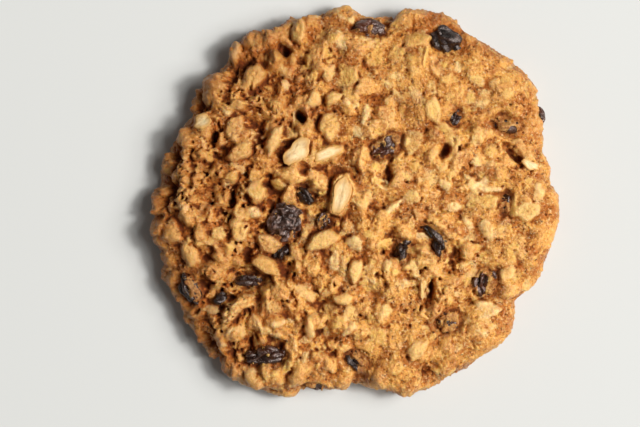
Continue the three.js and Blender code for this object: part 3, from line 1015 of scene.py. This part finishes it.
    def lay_bare(self, flake: Flake) -> None:
        """Presses the dough down where it would lie over a bare oat.

        Args:
            flake: The oat.
        """
        spots = self.near(flake.middle, flake.length * 0.6)
        plane, _, _, x, y = self.over_flake(flake, spots)
        height = self.height.ravel()[spots]
        lowered = np.minimum(height, plane - 0.15 * MM)
        self.height.ravel()[spots] = height + (lowered - height) * smooth_step(1.0, 0.8, np.hypot(x, y))

    def add_bumps(self, bumps: Bumps) -> None:
        """Scatters round grains or, with a negative rise, pores over the crust.

        Args:
            bumps: The kind of bump.
        """
        flat = self.base.reshape(-1, 3)
        bare = 1 - 0.75 * self.oat.ravel()
        if bumps.rise < 0:
            bare *= np.clip(0.55 + 1.2 * self.cavity(1.6, 0.8 * MM).ravel(), 0.1, 1)
        for spot in self.random.integers(0, len(flat), bumps.count):
            radius = bumps.small + (bumps.large - bumps.small) * self.random.random() ** 2
            if self.random.random() > bare[spot]:
                continue
            spots = self.near(flat[spot], radius)
            away = np.linalg.norm(flat[spots] - flat[spot], axis=1) / radius
            self.height.ravel()[spots] += bumps.rise * radius * mound(away, 1.5)

    def sink_holes(self) -> None:
        """Sinks the deep cracks and holes between the clods."""
        flat = self.base.reshape(-1, 3)
        for x, y, length, width, depth, heading in self.holes:
            spot = self.place_at(x * MM, y * MM)
            spots = self.near(flat[spot], length * MM)
            away = flat[spots] - flat[spot]
            away += 0.9 * MM * np.array([noise.noise_vector(Vector(p) / (2.2 * MM)) for p in flat[spots]])
            ragged = 1 + 1.1 * sample(noise.noise, flat[spots], 1.9 * MM)
            ragged += 0.6 * sample(noise.noise, flat[spots], 0.8 * MM)
            reach = oval_reach(away[:, 0], away[:, 1], length, width, heading) * ragged
            self.height.ravel()[spots] -= self.hole_share * depth * MM * smooth_step(1.75, 0.0, reach)

    def pile_lumps(self) -> None:
        """Piles up the single lumps of dough."""
        flat = self.base.reshape(-1, 3)
        for x, y, radius, rise, cover, tint in self.lumps:
            middle = flat[self.place_at(x * MM, y * MM)]
            spots = self.near(middle, radius * MM)
            ragged = 1 + 0.3 * sample(noise.noise, flat[spots], 1.8 * MM)
            away = np.linalg.norm(flat[spots] - middle, axis=1) / (radius * MM) * ragged
            self.height.ravel()[spots] += rise * MM * mound(away, 0.8)
            shows = smooth_step(1.0, 0.7, away)
            oat, pale = self.oat.ravel(), self.tint.ravel()
            oat[spots] += (cover - oat[spots]) * shows
            pale[spots] += (tint - pale[spots]) * shows

    def roughen(self, waves: tuple[tuple[float, float], ...], on_oats: float = 1.0) -> None:
        """Adds uneven lumps.

        Args:
            waves: The size and the depth of each kind of lump.
            on_oats: How much of them shows on the oats.
        """
        places = self.surface()
        for size, depth in waves:
            even = float(smooth_step(3 * MM, 1 * MM, np.array(size)))
            share = self.bold * (1 - even) + (0.35 + 0.3 * self.bold) * even
            share = depth * share * (1 - (1 - on_oats) * self.oat)
            self.height += share * sample(billow, places + size * 17, size)

    def lap_field(self, places: np.ndarray) -> np.ndarray:
        """Adds up the laps.

        Args:
            places: The crust's places.

        Returns:
            The strength of the laps at each of them.
        """
        out = np.zeros(places.shape[:2])
        for x, y, length, width, heading, strength in self.laps:
            east, north = places[..., 0] - x * MM, places[..., 1] - y * MM
            out += strength * smooth_step(1.25, 0.6, oval_reach(east, north, length, width, heading))
        return out

    def lap_raisins(self) -> None:
        """Lets the dough lap over the raisins in ragged patches, and leaves a gap beside the rest."""
        starts = self.start + self.outward * self.cast_from
        tree = self.raisins.tree
        reach = np.full(self.height.shape, 1.0)
        self.film = np.zeros(self.height.shape)
        flat = self.surface()
        lumps = sample(noise.noise, flat, 2.8 * MM) + 0.5 * sample(noise.noise, flat + 0.1, 1.2 * MM)
        wanted = self.lap_field(flat)
        for (i, j) in np.ndindex(self.height.shape):
            place = Vector(flat[i, j])
            nearest, _, near_face, gap = tree.find_nearest(place, 2.5 * MM)
            if nearest is None:
                continue
            reach[i, j] = min(1.0, gap / (1.2 * MM))
            inwards = Vector(-self.outward[i, j])
            hit, _, face, distance = tree.ray_cast(Vector(starts[i, j]), inwards, self.cast_reach)
            cover = self.raisins.cover_at(face if hit else near_face)
            covered = cover + 0.6 * lumps[i, j] + wanted[i, j]
            if hit:
                skin = self.cast_from - distance
                stands = (skin - self.height[i, j]) / (1.5 * MM)
                share = min(1.0, max(0.0, (covered - 0.4 * max(stands, 0)) / 0.12))
                target = max(self.height[i, j], skin + self.lap_depth)
                self.height[i, j] += (target - self.height[i, j]) * share
                thin = 1 - (self.height[i, j] - skin - 0.25 * MM) / (0.8 * MM)
                self.film[i, j] = share * min(1.0, max(0.0, thin)) * min(1.0, 1.25 - cover)
            else:
                away = gap / (1.6 * MM) - 0.8
                self.height[i, j] += (0.45 + 0.5 * lumps[i, j]) * MM * math.exp(-(away**2) / 0.3)
                share = min(1.0, max(0.0, covered / 0.3)) * math.exp(-((gap / (1.1 * MM)) ** 2))
                skin = float((np.array(nearest) - self.start[i, j]) @ self.outward[i, j])
                self.height[i, j] += max(0.0, skin + 0.2 * MM - self.height[i, j]) * share
                self.film[i, j] = 0.5 * share * min(1.0, 1.25 - cover)
        self.raisin_reach = reach
        self.height -= 0.15 * MM * (1 - smooth_step(0.0, 1.0, reach)) * smooth_step(0.1, -0.2, lumps)

    def settle(self) -> None:
        """Lays the crust flat where it rests on the table."""
        grounded = smooth_step(0.0, self.foot, self.base[..., 2])
        self.height = self.height * grounded + self.blur_mm(self.height, 1.1) * (1 - grounded)

    def cavity(self, reach: float, depth: float) -> np.ndarray:
        """Tells how deep each crossing lies below its surroundings.

        Args:
            reach: How wide the surroundings are, in millimetres.
            depth: The depth that counts as fully sunk.

        Returns:
            The depth, where 1 is fully sunk and below 0 is raised.
        """
        return (self.blur_mm(self.height, reach) - self.height) / depth

    def close_underneath(self) -> None:
        """Carries the sheet's edge across the underside to the middle, a trace above the table."""
        bm = self.bm
        edge = [e for e in bm.edges if e.is_boundary]
        last = 1.0
        for share in self.under_rings:
            ring = bmesh.ops.extrude_edge_only(bm, edges=edge)["geom"]
            edge = [e for e in ring if isinstance(e, bmesh.types.BMEdge)]
            rim = {v for e in edge for v in e.verts}
            middle = sum((v.co for v in rim), Vector()) / len(rim)
            for vert in rim:
                flat = middle + (vert.co - middle) * (share / last)
                rise = self.under_lift + self.under_waves * noise.noise(flat / self.under_wave_size)
                vert.co = Vector((flat.x, flat.y, max(rise, 0)))
            last = share
        rim = list({v for e in edge for v in e.verts})
        bmesh.ops.pointmerge(bm, verts=rim, merge_co=sum((v.co for v in rim), Vector()) / len(rim))

    def build(self, finish: bpy.types.Material) -> bpy.types.Object:
        """Makes the crust's mesh and dresses it.

        Args:
            finish: Its material.

        Returns:
            The piece, which stands for the dough's solid.
        """
        self.settle()
        places = self.surface()
        places[..., 2] = np.maximum(places[..., 2], 0)
        # Painted shade: the cavity number darkens the creases and cracks, less towards the right, and also
        # the ground beside each raisin and the trench round each oat.
        cavity = 0.5 * self.cavity(0.7, 0.5 * MM) + 0.6 * self.cavity(2.1, 1.2 * MM) - 0.2
        cavity *= 1 - 0.36 * smooth_step(-32 * MM, 4 * MM, places[..., 0])
        patchy = 0.3 + 0.35 * sample(noise.noise, places, 5 * MM)
        cavity += 0.35 * (1 - self.raisin_reach) * (1 - self.film) + patchy * self.ring
        cavity = np.clip(cavity, 0, 0.95)
        # Browning of the rim and of the underside's edge, in random patches too, plus painted shade: darker
        # to the left and towards the back.
        side = smooth_step(0.6, 0.95, self.share)
        left = smooth_step(8 * MM, -52 * MM, places[..., 0])
        toast_and_shade = 0.36 * side * (0.3 + 0.7 * left) + 0.38 * left
        toast_and_shade += 0.16 * smooth_step(5 * MM, 42 * MM, places[..., 1])
        toast_and_shade += 0.22 * smooth_step(0.78, 1.0, self.share) + 0.2 * sample(noise.noise, places, 14 * MM)
        toast_and_shade = np.clip(toast_and_shade, 0, 0.7)
        for vert, place in zip(self.bm.verts, places.reshape(-1, 3)):
            vert.co = place
        count = len(self.bm.verts)
        self.close_underneath()
        bmesh.ops.recalc_face_normals(self.bm, faces=self.bm.faces)
        extra = len(self.bm.verts) - count
        piece = add_piece("crust", self.bm, finish)
        raised = np.clip(0.5 - 0.5 * self.cavity(1.6, 0.8 * MM), 0, 1)
        # Each number's name, its values on the sheet, and its value underneath.
        for name, values, under in (
            ("cavity", cavity, 0.1),
            ("toast_and_shade", toast_and_shade, 0.55),
            ("oat", self.oat, 0.0),
            ("oat_tint", self.tint, 0.0),
            ("raised", raised, 0.5),
            ("film", self.blur_mm(self.film, 0.25), 0.0),
        ):
            write_attribute(piece.data, name, np.concatenate([values.ravel(), np.full(extra, under)]))
        thin_out(piece, self.triangles)
        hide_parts(DOUGH_NODE)
        return piece


# ---- Oats and crumbs -----------------------------------------------------------------------------


@dataclass(frozen=True)
class Scatter:
    """A kind of coated oat: how many, their shortest and longest, their width by length, how far apart."""

    count: int
    lengths: tuple[float, float]
    slender: float
    apart: float


@dataclass
class Oats:
    """The rolled oats: bare ones that stand out, and many more that the dough coats."""

    thickness: float = 0.6 * MM
    sit: float = 0.2 * MM
    whole: Scatter = Scatter(400, (4.6 * MM, 8.2 * MM), 0.58, 3.3 * MM)
    broken: Scatter = Scatter(1000, (1.9 * MM, 4.0 * MM), 0.75, 1.6 * MM)
    coated_dome: float = 0.6 * MM
    coated_lift: float = 0.42
    clear_share: float = 0.4
    bare_tint: float = 0.82
    # The single oats: x and y of the middle, length and width in millimetres, heading in degrees, how
    # pale, how deep the crease. Those paler than bare_tint lie bare, and the dough coats the others.
    bare: tuple[tuple[float, ...], ...] = (
        (-15.4, 12.7, 8.8, 4.8, 48, 1.0, 0.1), (-7.6, 12.2, 7.6, 2.8, 20, 0.9, 0.0),
        (-4.1, 1.5, 9.6, 4.4, 76, 0.85, 0.9), (-9.1, -10.3, 9.0, 4.6, 25, 0.35, 0.0),
        (-31.6, 18.9, 7.0, 4.8, 70, 0.3, 0.0), (-30.3, 12.7, 8.0, 4.2, 35, 0.25, 0.0),
        (-21.5, 15.8, 8.6, 3.4, 68, 0.5, 0.0), (-39.9, 20.5, 4.8, 3.8, 20, 0.9, 0.0),
        (-11.4, 26.2, 4.8, 3.6, 62, 0.45, 0.0), (-6.1, 26.5, 4.8, 3.4, 30, 0.4, 0.0),
        (-7.4, 33.2, 4.8, 3.4, 60, 0.55, 0.0), (2.3, 22.3, 6.6, 2.2, 80, 0.8, 0.0),
        (-26.9, 31.9, 8.4, 5.2, 58, 0.2, 0.0), (44.9, 9.3, 4.8, 2.4, -25, 1.0, 0.0),
        (-0.4, -18.4, 6.6, 3.8, 80, 0.5, 0.7), (-3.5, -25.5, 5.4, 3.2, 5, 0.4, 0.0),
        (9.2, -1.8, 6.0, 2.0, 40, 0.8, 0.0), (15.6, -38.7, 6.6, 4.2, 45, 0.45, 0.0),
        (-21.3, -27.8, 7.0, 5.2, -20, 0.35, 0.0), (-20.5, -31.7, 5.0, 2.0, 15, 0.8, 0.0),
        (-13.3, -23.7, 7.5, 4.0, -25, 0.5, 0.0), (-12.2, -33.0, 6.8, 2.8, 88, 0.6, 0.0),
        (-7.8, -33.8, 4.6, 2.2, 80, 0.7, 0.0), (-1.8, -33.3, 5.6, 2.2, 50, 0.6, 0.0),
        (-13.5, -40.8, 4.4, 2.0, 75, 0.7, 0.0), (-21.1, -34.6, 3.6, 2.4, 20, 0.7, 0.0),
        (-0.5, -10.9, 5.0, 4.0, -40, 0.75, 0.0), (7.8, -16.9, 4.0, 2.4, 80, 0.6, 0.0),
        (-3.6, -17.7, 7.5, 2.6, 85, 0.4, 0.0), (7.3, -28.6, 4.5, 3.2, 60, 0.5, 0.0),
        (-28.6, -44.0, 8.0, 2.6, -12, 0.7, 0.0), (-32.2, -33.8, 4.0, 2.6, 10, 0.8, 0.0),
        (-37.7, -28.6, 5.5, 3.4, -20, 0.7, 0.0), (-36.4, -21.6, 6.0, 3.4, 75, 0.3, 0.0),
        (-23.1, 34.3, 5.5, 2.2, -60, 0.3, 0.0), (-19.2, 33.8, 6.5, 2.6, -48, 0.5, 0.0),
        (-18.7, 30.2, 3.4, 2.4, -50, 0.8, 0.0), (-7.0, 19.5, 8.0, 6.0, 80, 0.3, 0.0),
        (14.6, 15.1, 7.0, 5.2, 60, 0.35, 0.0), (1.3, 0.5, 6.5, 5.5, 0, 0.25, 0.0),
        (25.7, 14.0, 7.5, 2.8, 95, 0.4, 0.0), (29.4, 4.7, 5.0, 3.0, -55, 0.7, 0.0),
        (22.9, 4.2, 4.0, 2.6, -45, 0.7, 0.0), (25.0, -1.6, 4.0, 3.0, 0, 0.8, 0.0),
        (33.8, -7.5, 6.6, 3.6, -65, 0.6, 0.0), (28.9, -6.0, 4.4, 2.0, -45, 0.8, 0.0),
        (47.2, 1.8, 6.0, 3.4, 85, 0.6, 0.0), (14.3, 0.8, 5.0, 4.0, 20, 0.4, 0.0),
        (34.6, 13.0, 5.0, 4.0, 60, 0.3, 0.0), (39.3, -18.7, 5.0, 3.6, 30, 0.5, 0.0),
        (-23.5, -16.8, 8.4, 4.2, -30, 0.1, 0.0), (-48.0, -8.1, 7.0, 4.4, -65, 0.25, 0.0),
        (-43.3, -13.9, 7.2, 4.2, -58, 0.3, 0.0),
    )

    def press_into(self, crust: Crust) -> list[Flake]:
        """Beds the oats in the crust.

        Args:
            crust: The crust.

        Returns:
            The single oats.
        """
        flakes = []
        for x, y, length, width, heading, tint, _ in self.bare:
            spot = crust.place_at(x * MM, y * MM)
            shown = tint > self.bare_tint
            lift = (0.35 if shown else 0.55) * MM
            lean, seed = self.lean(crust.random, 0.05), float(crust.random.uniform(0, 100))
            turn = math.radians(heading)
            flake = crust.make_flake(spot, length * MM, width * MM, turn, lift, lean, tint, seed)
            dome = (0.4 if shown else 0.8) * MM
            collar = 0.15 * MM if shown and tint < 0.95 else 0.0
            crust.press(flake, 0.4 + 0.55 * tint, dome, 0.0, soft=0.2, collar=collar)
            flakes.append(flake)
        self.press_scattered(crust, flakes, self.whole)
        self.press_scattered(crust, flakes, self.broken)
        return flakes

    def lean(self, random: np.random.Generator, tilt: float) -> np.ndarray:
        """Draws a lean of a given angle to a random side."""
        return math.tan(tilt) * unit(random.normal(0, 1, 3))

    def press_scattered(self, crust: Crust, single: list[Flake], kind: Scatter) -> None:
        """Beds oats all over the crust, coated with dough.

        Args:
            crust: The crust.
            single: The single oats, which they leave in view.
            kind: Which kind to scatter.
        """
        random = np.random.default_rng([crust.seed, kind.count])
        flat = crust.base.reshape(-1, 3)
        chosen = [np.full(3, 1.0)]
        shown = np.array([f.middle for f in single])
        reach = np.array([f.width for f in single]) * 0.6
        for _ in range(kind.count * 3):
            if len(chosen) > kind.count:
                break
            # Every number is drawn before the tests, so that a test doesn't change the later oats.
            spot = int(random.integers(0, len(flat)))
            length = random.uniform(*kind.lengths)
            width = length * kind.slender * random.uniform(0.85, 1.2)
            heading, tilt = random.uniform(0, math.pi), abs(random.normal(0, 0.2))
            lift, clear = random.normal(self.coated_lift, 0.25) * MM, random.random() < self.clear_share
            cover = random.uniform(0.5, 0.85) if clear else random.uniform(0.0, 0.35)
            tint, crease = random.random() ** 2.2, 0.25 * MM * (random.random() < 0.3)
            lean, seed = self.lean(random, tilt), float(random.uniform(0, 100))
            middle = flat[spot]
            if middle[2] < crust.foot + width / 2:
                continue
            if np.min(np.linalg.norm(np.array(chosen) - middle, axis=1)) < kind.apart:
                continue
            if crust.oat.ravel()[spot] > 0.4:
                continue
            if np.min(np.linalg.norm(shown - middle, axis=1) - reach) < width / 2:
                continue
            if crust.raisins.tree.find_nearest(Vector(middle), width * 0.4)[0] is not None:
                continue
            chosen.append(middle)
            calm = float(smooth_step(0.5, 0.75, crust.share.ravel()[spot]))
            bold = crust.bold.ravel()[spot]
            lift = lift * min(1.3, bold) - 0.4 * MM * calm
            flake = crust.make_flake(spot, length, width, heading, lift, lean * (1 - calm), tint, seed)
            dome = self.coated_dome * (0.65 if clear else 1) * (0.4 + 0.6 * min(1.0, bold))
            crust.press(flake, cover, dome, crease, soft=0.25 - 0.12 * cover)
        shortest, longest = kind.lengths
        LOG.info("pressed %d oats of %.0f to %.0f mm", len(chosen) - 1, shortest / MM, longest / MM)

    def shape(
        self, bm: bmesh.types.BMesh, flake: Flake, creased: float
    ) -> list[tuple[float, float, float]]:
        """Shapes one oat.

        Args:
            bm: The bmesh that it is added to.
            flake: Where it lies.
            creased: How deep its crease is, from 0 to 1.

        Returns:
            For each of its vertices, the reach from the middle and how creased and streaked it is.
        """
        made = bmesh.ops.create_icosphere(bm, subdivisions=4, radius=1)["verts"]
        out = []
        for vert in made:
            x, y, z = vert.co
            around = math.atan2(y, x)
            ragged = 1 - 0.09 * math.sin(3 * around + flake.seed)
            ragged -= 0.06 * math.sin(5 * around + 2 * flake.seed)
            ragged += 0.1 * noise.noise(Vector((math.cos(around) * 3, math.sin(around) * 3, flake.seed)))
            reach = min(1.0, math.hypot(x, y))
            slab = math.copysign(abs(z) ** 0.4, z) * self.thickness / 2
            crease = creased * math.exp(-((y / 0.13) ** 2)) * (1 - reach**3)
            swell = noise.noise(Vector((x * 1.3, y * 1.3, flake.seed))) * 0.3 * MM
            streak = noise.noise(Vector((x * 2.5, y * 8, flake.seed)))
            rise = slab + swell + 0.1 * MM * streak - (0.3 * MM * crease if z > 0 else 0)
            rise -= 0.12 * MM * reach**2
            across = y * ragged * flake.width / 2
            along = x * ragged * flake.length / 2
            place = flake.middle + flake.along * along + flake.across * across
            vert.co = Vector(place + flake.up * (rise + self.sit - self.thickness / 2))
            out.append((reach, crease if z > 0 else 0.0, max(0.0, 0.9 * streak)))
        return out

    def shown(self, single: list[Flake]) -> list[tuple[Flake, float]]:
        """Picks out the bare oats, each with the depth of its crease."""
        return [(flake, row[-1]) for flake, row in zip(single, self.bare) if flake.tint > self.bare_tint]

    def build(self, single: list[Flake], finish: bpy.types.Material) -> bpy.types.Object:
        """Makes the bare oats, joined in one piece.

        Args:
            single: The single oats.
            finish: Their material.

        Returns:
            The piece.
        """
        bm = bmesh.new()
        rows = []
        for flake, creased in self.shown(single):
            for reach, crease, streak in self.shape(bm, flake, creased):
                edge = 0.8 * float(smooth_step(0.4, 1.0, np.array(reach)))
                rows.append((flake.tint, edge, 0.5 * crease, streak))
        piece = add_piece("bare_oats", bm, finish)
        for name, values in zip(("oat_tint", "oat_edge", "oat_crease", "oat_streak"), np.array(rows).T):
            write_attribute(piece.data, name, values)
        return piece


# ---- Raisins -------------------------------------------------------------------------------------


class Fold(Enum):
    """How a skin is folded: how much longer than wide its folds are, their depth in mm, whether sharp."""

    LONG = (2.6, 1.2, False)
    CRUMPLED = (1.5, 0.95, True)
    SMOOTH = (1.8, 0.5, False)


@dataclass(frozen=True)
class RaisinLook:
    """How one raisin looks: how far the dough covers it, how brown it is, how it is folded, how grey."""

    cover: float = 0.0
    brown: float = 0.0
    fold: Fold = Fold.LONG
    grey: float = 0.22


@dataclass
class Raisins:
    """The raisins: each solid's pebble, made fine and wrinkled."""

    faces: int = 7000
    smoothings: int = 5
    fold_size: float = 2.1 * MM
    crinkle_depth: float = 0.12 * MM
    crinkle_size: float = 0.8 * MM
    # One for each raisin, in the order of their names.
    looks: tuple[RaisinLook, ...] = (
        RaisinLook(0.0, 0.15, Fold.CRUMPLED, 1.0),
        RaisinLook(0.1),
        RaisinLook(0.2),
        RaisinLook(0.1, 0.7, Fold.SMOOTH),
        RaisinLook(-0.1),
        RaisinLook(0.3, 0.8),
        RaisinLook(0.6, 0.3),
        RaisinLook(0.4, 0.5, Fold.SMOOTH),
        RaisinLook(0.35, 0.1),
        RaisinLook(0.1),
        RaisinLook(0.2),
        RaisinLook(0.55, 0.5),
        RaisinLook(0.4, 0.2),
        RaisinLook(0.0, 0.1),
        RaisinLook(0.55),
        RaisinLook(0.3, 0.3),
        RaisinLook(0.3),
        RaisinLook(0.25, 0.2),
        RaisinLook(0.7, 0.3),
        RaisinLook(0.55, 0.3),
        RaisinLook(0.2, 0.1, Fold.LONG, 0.1),
    )

    def __post_init__(self) -> None:
        """Shapes every raisin and makes the search tree that the dough is laid round."""
        self.names = sorted(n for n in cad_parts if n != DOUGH_NODE)
        self.skins = [self.shape(name, look) for name, look in zip(self.names, self.looks)]
        places: list[Vector] = []
        faces: list[tuple[int, ...]] = []
        self.owner: list[int] = []
        for number, (bm, _) in enumerate(self.skins):
            bm.verts.index_update()
            first = len(places)
            places += [v.co.copy() for v in bm.verts]
            faces += [tuple(first + v.index for v in f.verts) for f in bm.faces]
            self.owner += [number] * len(bm.faces)
        self.tree = BVHTree.FromPolygons(places, faces)

    def cover_at(self, face: int) -> float:
        """Tells how far the dough covers the raisin that a face of the search tree belongs to."""
        return self.looks[self.owner[face]].cover

    def frame_of(self, bm: bmesh.types.BMesh) -> tuple[Vector, Matrix]:
        """Finds a raisin's middle and its long, middle and short axes.

        Args:
            bm: Its shape.

        Returns:
            The middle, and a matrix that turns a place into those axes.
        """
        places = np.array([v.co for v in bm.verts])
        middle = places.mean(axis=0)
        spread = places - middle
        axes = np.linalg.eigh(np.einsum("ni,nj->ij", spread, spread))[1].T[::-1]
        axes = axes * np.sign(axes[np.arange(3), np.abs(axes).argmax(axis=1)])[:, None]
        return Vector(middle), Matrix(axes.tolist())

    def shape(self, name: str, look: RaisinLook) -> tuple[bmesh.types.BMesh, list[float]]:
        """Shapes one raisin.

        Args:
            name: Its solid's node name.
            look: How it looks.

        Returns:
            Its shape, and how far each vertex stands on a fold, from 0 to 1.
        """
        bm = bmesh.new()
        bm.from_mesh(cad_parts[name].data)
        bmesh.ops.remove_doubles(bm, verts=bm.verts, dist=SAME_PLACE)
        cuts = max(2, round(math.sqrt(self.faces / len(bm.faces))) - 1)
        bmesh.ops.subdivide_edges(bm, edges=bm.edges, cuts=cuts, use_grid_fill=True, smooth=0.5)
        every_way = {"use_axis_x": True, "use_axis_y": True, "use_axis_z": True}
        for _ in range(self.smoothings):
            bmesh.ops.smooth_vert(bm, verts=bm.verts, factor=0.5, **every_way)
        bm.normal_update()
        middle, axes = self.frame_of(bm)
        stretch, depth, ridged = look.fold.value
        moved, folds = [], []
        for vert in bm.verts:
            local = axes @ (vert.co - middle)
            local.x /= stretch
            place = (local + middle) / self.fold_size
            place += Vector(noise.noise_vector(place * 0.8)) * 0.3
            fold = min(1.0, 2.1 * abs(noise.noise(place)) ** 0.85)
            if ridged:
                fold = 1 - min(1.0, 2.6 * abs(noise.noise(place * 1.2)))
            tight = 1 - 2.4 * abs(noise.noise(place * (self.fold_size / self.crinkle_size))) ** 0.8
            lift = depth * MM * (fold - 0.75) + self.crinkle_depth * (tight - 0.4)
            moved.append(vert.co + vert.normal * lift)
            folds.append(min(1.0, max(0.0, 0.6 * fold + 0.5 * tight - 0.2)))
        for vert, place in zip(bm.verts, moved):
            vert.co = place
        return bm, folds

    def build(self, finish: bpy.types.Material) -> None:
        """Makes every raisin's piece, which stands for its solid.

        Args:
            finish: Their material.
        """
        for name, look, (bm, folds) in zip(self.names, self.looks, self.skins):
            piece = add_piece(f"{name}_skin", bm, finish)
            write_attribute(piece.data, "fold", np.array(folds))
            write_attribute(piece.data, "brown", np.full(len(folds), look.brown))
            write_attribute(piece.data, "grey", np.full(len(folds), look.grey))
            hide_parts(name)


# ---- The studio ----------------------------------------------------------------------------------


@dataclass
class Studio:
    """A pale floor, a wide and a small lamp at the right, and a camera that looks straight down."""

    floor_size: float = 3.0
    floor_colour: str = "#c8c8c4"
    aim: tuple[float, float, float] = (-9.5 * MM, -3.35 * MM, 8 * MM)
    view_width: float = 166.4 * MM
    distance: float = 0.9
    light_bearing: float = math.radians(3)
    light_rise: float = math.radians(54)
    light_distance: float = 2.6
    light_size: float = 1.8
    light_level: float = 1.34
    sun_size: float = 0.5
    sun_share: float = 0.37
    fill: float = 0.12

    def add_floor(self) -> None:
        """Lays the floor."""
        bm = bmesh.new()
        bmesh.ops.create_grid(bm, x_segments=1, y_segments=1, size=self.floor_size / 2)
        mesh = bpy.data.meshes.new("floor")
        bm.to_mesh(mesh)
        bm.free()
        shader = Shader("pale_floor")
        mesh.materials.append(shader.finish(colour(self.floor_colour), 0.8, None))
        floor = bpy.data.objects.new("floor", mesh)
        bpy.context.scene.collection.objects.link(floor)

    def add_lights(self) -> None:
        """Hangs the lamps at the right and fills the shadows from all round."""
        flat = self.light_distance * math.cos(self.light_rise)
        east, north = math.cos(self.light_bearing), math.sin(self.light_bearing)
        place = (flat * east, flat * north, self.light_distance * math.sin(self.light_rise))
        # The two lamps together light the floor to the same level from any distance and rise.
        power_at_floor = math.pi**2 * self.light_distance**2 / math.sin(self.light_rise)
        lamps = (("window", self.light_size, 1 - self.sun_share), ("sun", self.sun_size, self.sun_share))
        for name, size, share in lamps:
            lamp = bpy.data.lights.new(name, "AREA")
            lamp.shape = "DISK"
            lamp.size = size
            lamp.energy = share * self.light_level * power_at_floor
            light = bpy.data.objects.new(name, lamp)
            light.location = place
            light.rotation_euler = (-light.location).to_track_quat("-Z", "Y").to_euler()
            bpy.context.scene.collection.objects.link(light)
        world = bpy.data.worlds.new("room")
        world.use_nodes = True
        background = world.node_tree.nodes["Background"]
        background.inputs["Color"].default_value = (1, 1, 1, 1)
        background.inputs["Strength"].default_value = self.fill
        bpy.context.scene.world = world
        bpy.context.scene.view_settings.view_transform = "Standard"

    def add_camera(self) -> None:
        """Hangs the camera over the cookie, with +Y at the top of the picture."""
        data = bpy.data.cameras.new("camera")
        data.sensor_width = 36
        data.lens = data.sensor_width * self.distance / self.view_width
        camera = bpy.data.objects.new("camera", data)
        camera.location = Vector(self.aim) + Vector((0, 0, self.distance))
        bpy.context.scene.collection.objects.link(camera)
        bpy.context.scene.camera = camera

    def build(self) -> None:
        """Sets up the studio."""
        self.add_floor()
        self.add_lights()
        self.add_camera()


def main() -> None:
    """Builds the cookie and the studio."""
    logging.basicConfig(level=logging.INFO, format="%(relativeCreated)d %(message)s")
    noise.seed_set(NOISE_SEED)
    Studio().build()
    raisins = Raisins()
    crust = Crust(raisins)
    LOG.info("measured the solid")
    crust.roughen(crust.clods)
    oats = Oats()
    single = oats.press_into(crust)
    crust.height = crust.blur_mm(crust.height, crust.oat_blur)
    crust.roughen(crust.crumb, crust.crumb_on_oats)
    crust.sink_holes()
    crust.lap_raisins()
    crust.pile_lumps()
    crust.add_bumps(crust.grains)
    crust.add_bumps(crust.pores)
    for flake, _ in oats.shown(single):
        crust.lay_bare(flake)
    LOG.info("laid the crust's relief")
    crust.build(DoughFinish().build())
    oats.build(single, OatFinish().build())
    raisins.build(RaisinFinish().build())


if __name__ == "__main__":
    main()
